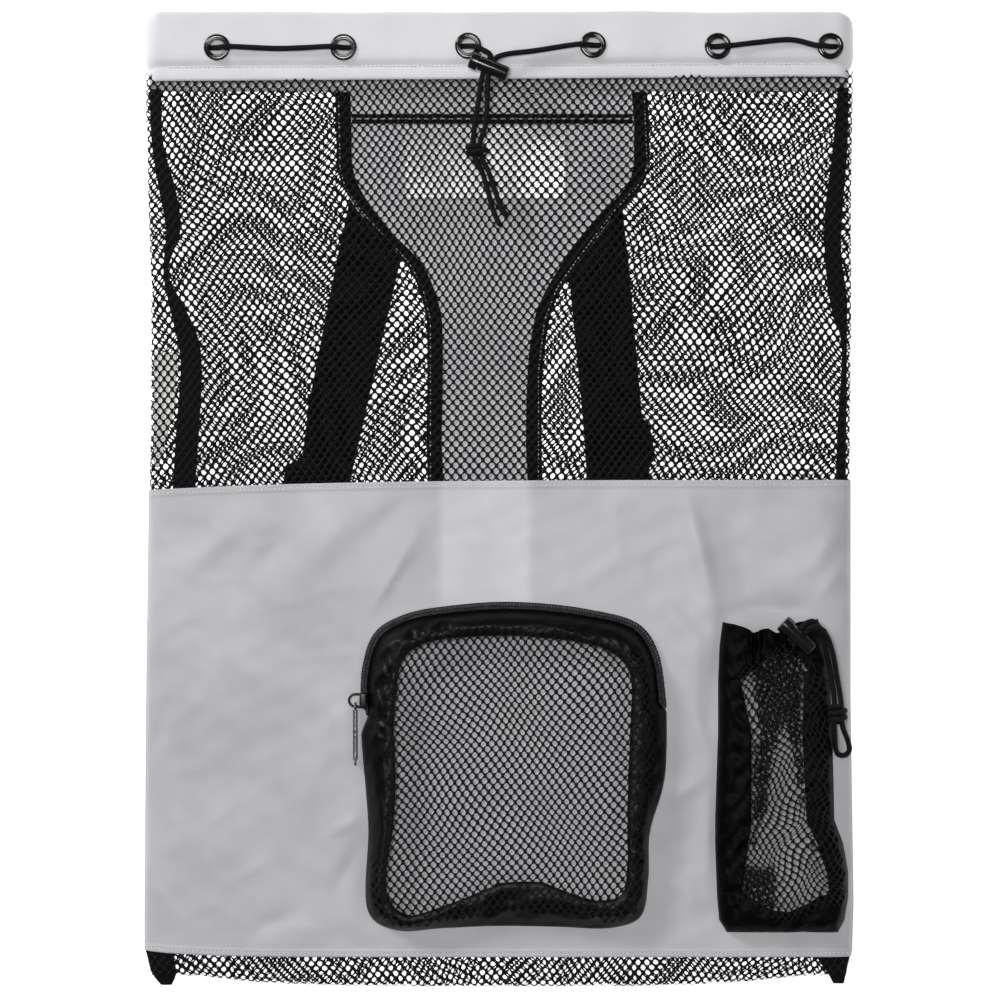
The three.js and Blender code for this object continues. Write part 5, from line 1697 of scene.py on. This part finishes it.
slider = block(SLIDER_SIZE, SLIDER)
apply_modifier(slider, "BEVEL", width=SLIDER_ROUND / 1000, segments=4)
bow = wire_ring((BRIDGE_RADIUS, BRIDGE_WIRE), 48, 14)
bpy.ops.object.mode_set(mode="EDIT")
bpy.ops.mesh.select_all(action="SELECT")
bpy.ops.mesh.bisect(plane_co=(0, 0, 0), plane_no=(1, 0, 0), use_fill=True, clear_outer=True)
bpy.ops.object.mode_set(mode="OBJECT")
bow.data.transform(Matrix.Translation(Vector(HINGE) / 1000))
combine(slider, bow, "UNION")
for side in (-1, 1):
    leg = bar_along_x(BRIDGE_WIRE, -0.1, BRIDGE_LEG + 1)
    leg.data.transform(moved(HINGE[0], HINGE[1] + side * BRIDGE_RADIUS, HINGE[2]))
    combine(slider, leg, "UNION")
slider.name = "zip_slider_casting"
smooth_edges(slider)
dress(slider, SLIDER_PAINT, "slider_enamel", "zip_slider")
print(slider.name, triangles(slider), "triangles")

# %% [markdown]
# The puller is a steel bar with a ring at each end. It is built along its own axis from the hinge, and
# moved to the bridge last, because it swings there on a body of its own.

# %% Puller
EYE_RING, END_RING, ROD_RADIUS, PULLER_LENGTH = (2.2, 0.65), (1.7, 0.65), 1.5, 36.0

puller = bar_along_x(ROD_RADIUS, EYE_RING[0], PULLER_LENGTH - END_RING[0])
puller.name = "zip_puller_bar"
puller.data.transform(Matrix.Rotation(-math.pi / 2, 4, "Z"))
for sizes, along in ((EYE_RING, 0), (END_RING, PULLER_LENGTH)):
    ring = wire_ring(sizes, 40, 14)
    ring.data.transform(Matrix.Translation((0, -along / 1000, 0)) @ Matrix.Rotation(math.pi / 2, 4, "Y"))
    combine(puller, ring, "UNION")
puller.data.transform(moved(HINGE[0], HINGE[1] - BRIDGE_RADIUS, HINGE[2]))
smooth_edges(puller)
dress(puller, PULLER_STEEL, "puller_steel", "zip_puller", body="puller")
print(puller.name, triangles(puller), "triangles")

# %% [markdown]
# ## Bottle pocket
# The bottle pocket is a pouch of plain nylon with a narrow net window. A cord gathers its mouth, so the hem
# stands in ridges that die out below it. The edges where hem, window and base are sewn together wander, so
# each has a chart, and one formula gives the level of the whole pouch.

# %% Form of the bottle pocket
HEM_TOP = chart("""
x y
144 -79.4
152 -80.6
159 -82.6
164.5 -86.2
169 -84.2
174 -83.2
179 -86.4
186 -84.6
194 -79.4
208 -77.4
""")
HEM_LOW = chart("""
x y
140 -117
157 -116
162 -111
168 -109
173 -102
184 -99
194 -101
198 -108
203 -117
218 -117
""")
BASE_TOP = chart("""
x y
140 -254
157 -254
166 -259
176 -265.5
188 -266.5
198 -262
208 -256
228 -254
""")
BOTTLE_LIE, BOTTLE_RISE, BOTTLE_ROLL, RIGHT_LIFT = 1.4, 11.0, 16.0, 0.7
GATHER, PLEAT = 1.5, 7.0
DENT, DENT_DEPTH, DENT_RADIUS = (187, -83), 3.0, 11  # where the lock presses on the hem
nylon_wave, nylon_crease, window_wave = waves(101, 20), waves(102, 9), waves(103, 24)


def edge_at(table, x):
    """Height of one of the pocket's sewn edges at x."""
    return np.interp(x, table["x"], table["y"])


def bottle_z(x, y):
    """Upper face of the bottle pocket, bulging off the panel between its sides and its base."""
    near = np.minimum(inset(BOTTLE, x, y), y - BOTTLE_END) / BOTTLE_ROLL
    depth = GATHER * ease(y, BOTTLE_HEM - 30, BOTTLE_TOP) * ease(x, 155, 163) * (1 - ease(x, 190, 198))
    gathers = depth * (1 + np.sin(2 * math.pi * (x / PLEAT + 0.3 * nylon_wave(x, y * 0.3))))
    pressed = DENT_DEPTH * np.exp(-((x - DENT[0]) ** 2 + (y - DENT[1]) ** 2) / DENT_RADIUS**2)
    level = front_z(x, y) + BOTTLE_LIE + RIGHT_LIFT * ease(x, 196, 212)
    return level + BOTTLE_RISE * shoulder(near) + gathers - pressed


print("the bottle pocket stands", round(float(bottle_z(180.0, -180.0)) - FRONT_TOP, 1), "mm over the front")

# %% [markdown]
# Sides, base and hem are sheets between two columns of the pocket's chart and two of its sewn edges. They
# could be one cloth with holes, but on the real pocket they are four pieces sewn together, so one function
# makes each.

# %% Cloth of the bottle pocket
NYLON_THICK, NYLON_WAVE, NYLON_CREASE, WAVE_MEAN = 0.7, 1.6, 0.6, 0.6
SIDE_TUCK, SIDE_LAP = 0.8, (4, 6)  # how far the sides sink at their ends, and lap under the base and the hem


def bottle_cloth(solid, left, right, low, high, columns, rows, tuck=0.0):
    """Cloth between two columns of the pocket's chart and two heights or edges; tuck sinks its ends."""
    share = np.linspace(0, 1, columns)[:, None]
    ends = []
    for edge in (low, high):
        level = edge if np.isscalar(edge) else float(edge["y"].mean())
        start, end = read(BOTTLE, left, level), read(BOTTLE, right, level)
        ends.append(0 * share + edge if np.isscalar(edge) else edge_at(edge, start + (end - start) * share))
    y = ends[0] + (ends[1] - ends[0]) * np.linspace(0, 1, rows)[None]
    start, end = read(BOTTLE, left, y), read(BOTTLE, right, y)
    x = start + (end - start) * share
    creases = NYLON_WAVE * (WAVE_MEAN - np.abs(nylon_wave(x, y))) + NYLON_CREASE * nylon_crease(x, y)
    z = bottle_z(x, y) + creases * ease(inset(BOTTLE, x, y), 0, 6)
    z = z - tuck * (ease(y, BOTTLE_HEM - 4, BOTTLE_HEM) + ease(-y, -BOTTLE_BASE - 4, -BOTTLE_BASE))
    made = cloth(f"{solid}_cloth", np.stack([x, y, z], axis=2), NYLON_THICK)
    # The bottle pocket's nylon is the border's nylon with painted shade, so it is drawn darker
    return dress(made, SHADED_NYLON, "nylon", solid)


side_low, side_high = BOTTLE_BASE - SIDE_LAP[0], BOTTLE_HEM + SIDE_LAP[1]
bottle_left, bottle_right = (
    bottle_cloth(f"bottle_side_{side}", left, right, side_low, side_high, 18, 110, SIDE_TUCK)
    for side, left, right in (("left", "left", "window_left"), ("right", "window_right", "right")))
bottle_base = bottle_cloth("bottle_base", "left", "right", BOTTLE_END, BASE_TOP, 70, 30)
bottle_hem = bottle_cloth("bottle_hem", "left", "right", HEM_LOW, HEM_TOP, 140, 36)
print("bottle cloth:", sum(map(triangles, (bottle_left, bottle_right, bottle_base, bottle_hem))), "triangles")

# %% [markdown]
# The window is net that is gathered with the hem, so it lies in layers and looks darker than the bag's
# walls. A darker yarn would hide the holes, so two more layers of net, each turned, lie below the first
# one. They leave a strip at the left and a gap in the middle free, where the panel shows through in the
# photograph.

# %% Net of the bottle pocket
WINDOW_SINK, WINDOW_WAVE, WINDOW_LIFT = 1.0, 1.1, 2.3
GAP_MIDDLE, GAP_HALF = 184.5, [(140, 164, 200, 219), (0, 7, 12.5, 18.5)]  # depths, half widths
STRIP_WIDE = [(-180, -111), (3, 10)]  # heights, widths
FOLD_END, LOW_FOLD_TOP, LOW_FOLD_RIGHT = -226, -239, 179


def in_window(x, y):
    """The net of the bottle pocket, which goes on over its right side."""
    across = between(x, read(BOTTLE, "window_left", y) - 1.5, read(BOTTLE, "right", y) - 4)
    return across & between(y, edge_at(BASE_TOP, x) - 6, edge_at(HEM_LOW, x) + 5)


def window_z(x, y):
    """Middle of the crumpled net, which stays above the nylon beside it."""
    beside = ease(x - read(BOTTLE, "window_right", y), -4, 2) + ease(edge_at(BASE_TOP, x) - y, -4, 2)
    lift = np.clip(beside + ease(y - edge_at(HEM_LOW, x), -4, 2), 0, 1)
    return bottle_z(x, y) - WINDOW_SINK + WINDOW_WAVE * window_wave(x, y) * (1 - lift) + WINDOW_LIFT * lift


def in_fold(x, y):
    """The layers of net below: they leave a strip at the left free and a gap that widens downwards."""
    left, right = read(BOTTLE, "window_left", y), read(BOTTLE, "window_right", y)
    across = between(x, left + np.interp(y, *STRIP_WIDE), right - 1)
    beside_gap = np.abs(x - GAP_MIDDLE) > np.interp(-y, *GAP_HALF)
    upper = across & beside_gap & between(y, FOLD_END, edge_at(HEM_LOW, x) + 1)
    lower = between(x, left + 1, LOW_FOLD_RIGHT) & between(y, edge_at(BASE_TOP, x), LOW_FOLD_TOP)
    return upper | lower


bottle_net = net("bottle_net_knit", (150, 228, -274, -92), in_window, window_z, 6.0, (0.8, 0.9),
                 drifting(104, 32, 3.0))
bottle_folds = []
for name, drop, turn, seed in (("bottle_net_fold", 5.0, -17.0, 106), ("bottle_net_tuck", 7.2, 24.0, 108)):
    made = net(name, (154, 200, -268, -96), in_fold,
               lambda x, y, drop=drop: bottle_z(x, y) - drop + 0.9 * nylon_wave(x, y), turn, (0.7, 0.8),
               drifting(seed, 28, 3.0))
    bottle_folds.append(dress(made, NET_YARN, "net"))
dress(bottle_net, NET_YARN, "net", "bottle_net")
print("bottle nets:", [triangles(piece) for piece in (bottle_net, *bottle_folds)], "triangles")

# %% [markdown]
# ## Stitches
# Lockstitch shows as a row of short dashes. They could be drawn in the cloth's finish, but a real stitch
# stands up and catches the light. Each dash is a small lens of thread on the cloth, and a seam's dashes are
# one mesh.

# %% Stitch maker
STITCH_PITCH, STITCH_LENGTH, THREAD = 2.8, 1.9, 0.38
STITCH_LIFT, STITCH_WAIST = 0.4, 0.3  # shares of the thread's radius and of the stitch's length


def stitches(name, path, slot):
    """Dashes of thread along a path that lies on the cloth."""
    places = evenly(path, STITCH_PITCH)
    along = np.gradient(places, axis=0)
    along /= np.linalg.norm(along, axis=1)[:, None]
    side = np.cross(along, (0, 0, 1))
    side /= np.linalg.norm(side, axis=1)[:, None]
    up = np.cross(side, along)
    lifted = places + up * THREAD * STITCH_LIFT
    corners = [lifted - along * STITCH_LENGTH / 2]
    for where in (-STITCH_WAIST, STITCH_WAIST):
        for a, b in ((1, 0), (0, 1), (-1, 0), (0, -1)):
            corners.append(lifted + along * STITCH_LENGTH * where + THREAD * (a * side + b * up))
    corners.append(lifted + along * STITCH_LENGTH / 2)
    faces = []
    for k in range(4):
        turn = (k + 1) % 4
        faces += [(0, 1 + k, 1 + turn), (1 + k, 5 + k, 5 + turn)]
        faces += [(1 + k, 5 + turn, 1 + turn), (9, 5 + turn, 5 + k)]
    first = len(corners) * np.arange(len(places))[:, None, None]
    numbers = (first + np.array(faces)[None]).reshape(-1, 3).tolist()
    made = mesh_piece(name, np.stack(corners, axis=1).reshape(-1, 3), numbers)
    face_out(made)
    return dress(made, PALE_THREAD, slot)


print("stitches per 100 mm:", round(100 / STITCH_PITCH))

# %% [markdown]
# Pale thread shows along the panel's two hems, along the band's channel and on the yoke's tapes. Each row
# follows the cloth that it is sewn through, so its heights come from that cloth's own function.

# %% Seams
BAND_GROOVE, BAND_STITCH_OUT, TAPE_STITCH_IN = 0.195, 1.9, 2.2
sewn = {}
seam_x = np.linspace(-226, 226, 240)
for name, y in (("top", panel_top(seam_x) - STITCH_IN), ("base", panel_base(seam_x) + STITCH_IN)):
    sewn[name] = stitches(f"panel_{name}_stitches", np.c_[seam_x, y, panel_z(seam_x, y)], "grey_cloth")
band_x = np.linspace(-214, 214, 200)
band_low = band_edge(band_x)
band_y = band_low + BAND_GROOVE * (MOUTH_Y - BAND_LIP - band_low)
band_z = 0 * band_x + SEAM_Z + END_RADIUS + BAND_STITCH_OUT
sewn["band"] = stitches("band_stitches", np.c_[band_x, band_y, band_z], "band_cloth")
for side, into in INTO_BAG.items():
    y = np.linspace(YOKE_END + 4, BACK_EDGE - 4, 220)
    x = read(YOKE, side, y) + into * TAPE_STITCH_IN
    path = np.c_[x, y, back_z(x, y) + TAPE_GAP + TAPE_THICK]
    sewn[side] = stitches(f"yoke_stitches_{side}", path, "black_tape")
print("stitches:", {name: triangles(piece) // 16 for name, piece in sewn.items()})

# %% [markdown]
# ## What the soft pieces are
# Each free cord's real length is measured along its route and printed. The lengths could be typed in, but
# then a changed route would make them wrong, so they are measured.


def declare_cord(piece, path, far_end, *others):
    """Prints a free cord's name and its measured length."""
    print(piece.name, round(path_length(path)), "mm")


declare_cord(drawcord, drawcord_path, "object")
declare_cord(left_cord, left_path, "bare", mouth_knot)
declare_cord(right_cord, right_path, "bare")
declare_cord(bottle_cord, bottle_path, "object", bottle_knot)

# %% [markdown]
# Each cloth is listed with the flat size that it was cut to, in metres, and its cloth area as a share of
# that size is printed. A net's area is that of its threads.

# %% Sheets listed
SHEETS = [
    (panel, 0.462, 0.31, "laid", (sewn["top"], sewn["base"])),
    (yoke, 0.206, 0.567, "laid", (patch, *bindings, crossbar, crossbar_ruffle, sewn["left"], sewn["right"])),
    (front_net, 0.462, 0.272, "laid", seams), (hem_net, 0.462, 0.024, "laid", ()),
    (back_left, 0.19, 0.588, "laid", ()), (back_right, 0.205, 0.588, "laid", ()),
    (straps[0], 0.04, 0.548, "laid", ()), (straps[1], 0.04, 0.54, "laid", ()),
    (label, 0.0155, 0.075, "laid", ()), (band, 0.94, 0.046, "gathered", (*eyelets, sewn["band"])),
    (border, 0.7, 0.03, "gathered", (flange, coil)), (face, 0.19, 0.205, "stretched", ()),
    (bottle_left, 0.027, 0.14, "gathered", ()), (bottle_right, 0.03, 0.14, "gathered", ()),
    (bottle_base, 0.098, 0.034, "gathered", ()), (bottle_hem, 0.095, 0.04, "gathered", ()),
    (bottle_net, 0.066, 0.15, "gathered", bottle_folds),
]


def thread_area(piece):
    """Half the surface of a closed mesh, which is one face of its cloth, in square metres."""
    return sum(face.area for face in piece.data.polygons) / 2


for piece, width, length, held, others in SHEETS:
    print(piece.name, "cut", width, "x", length, "cloth", round(thread_area(piece) / width / length, 2))
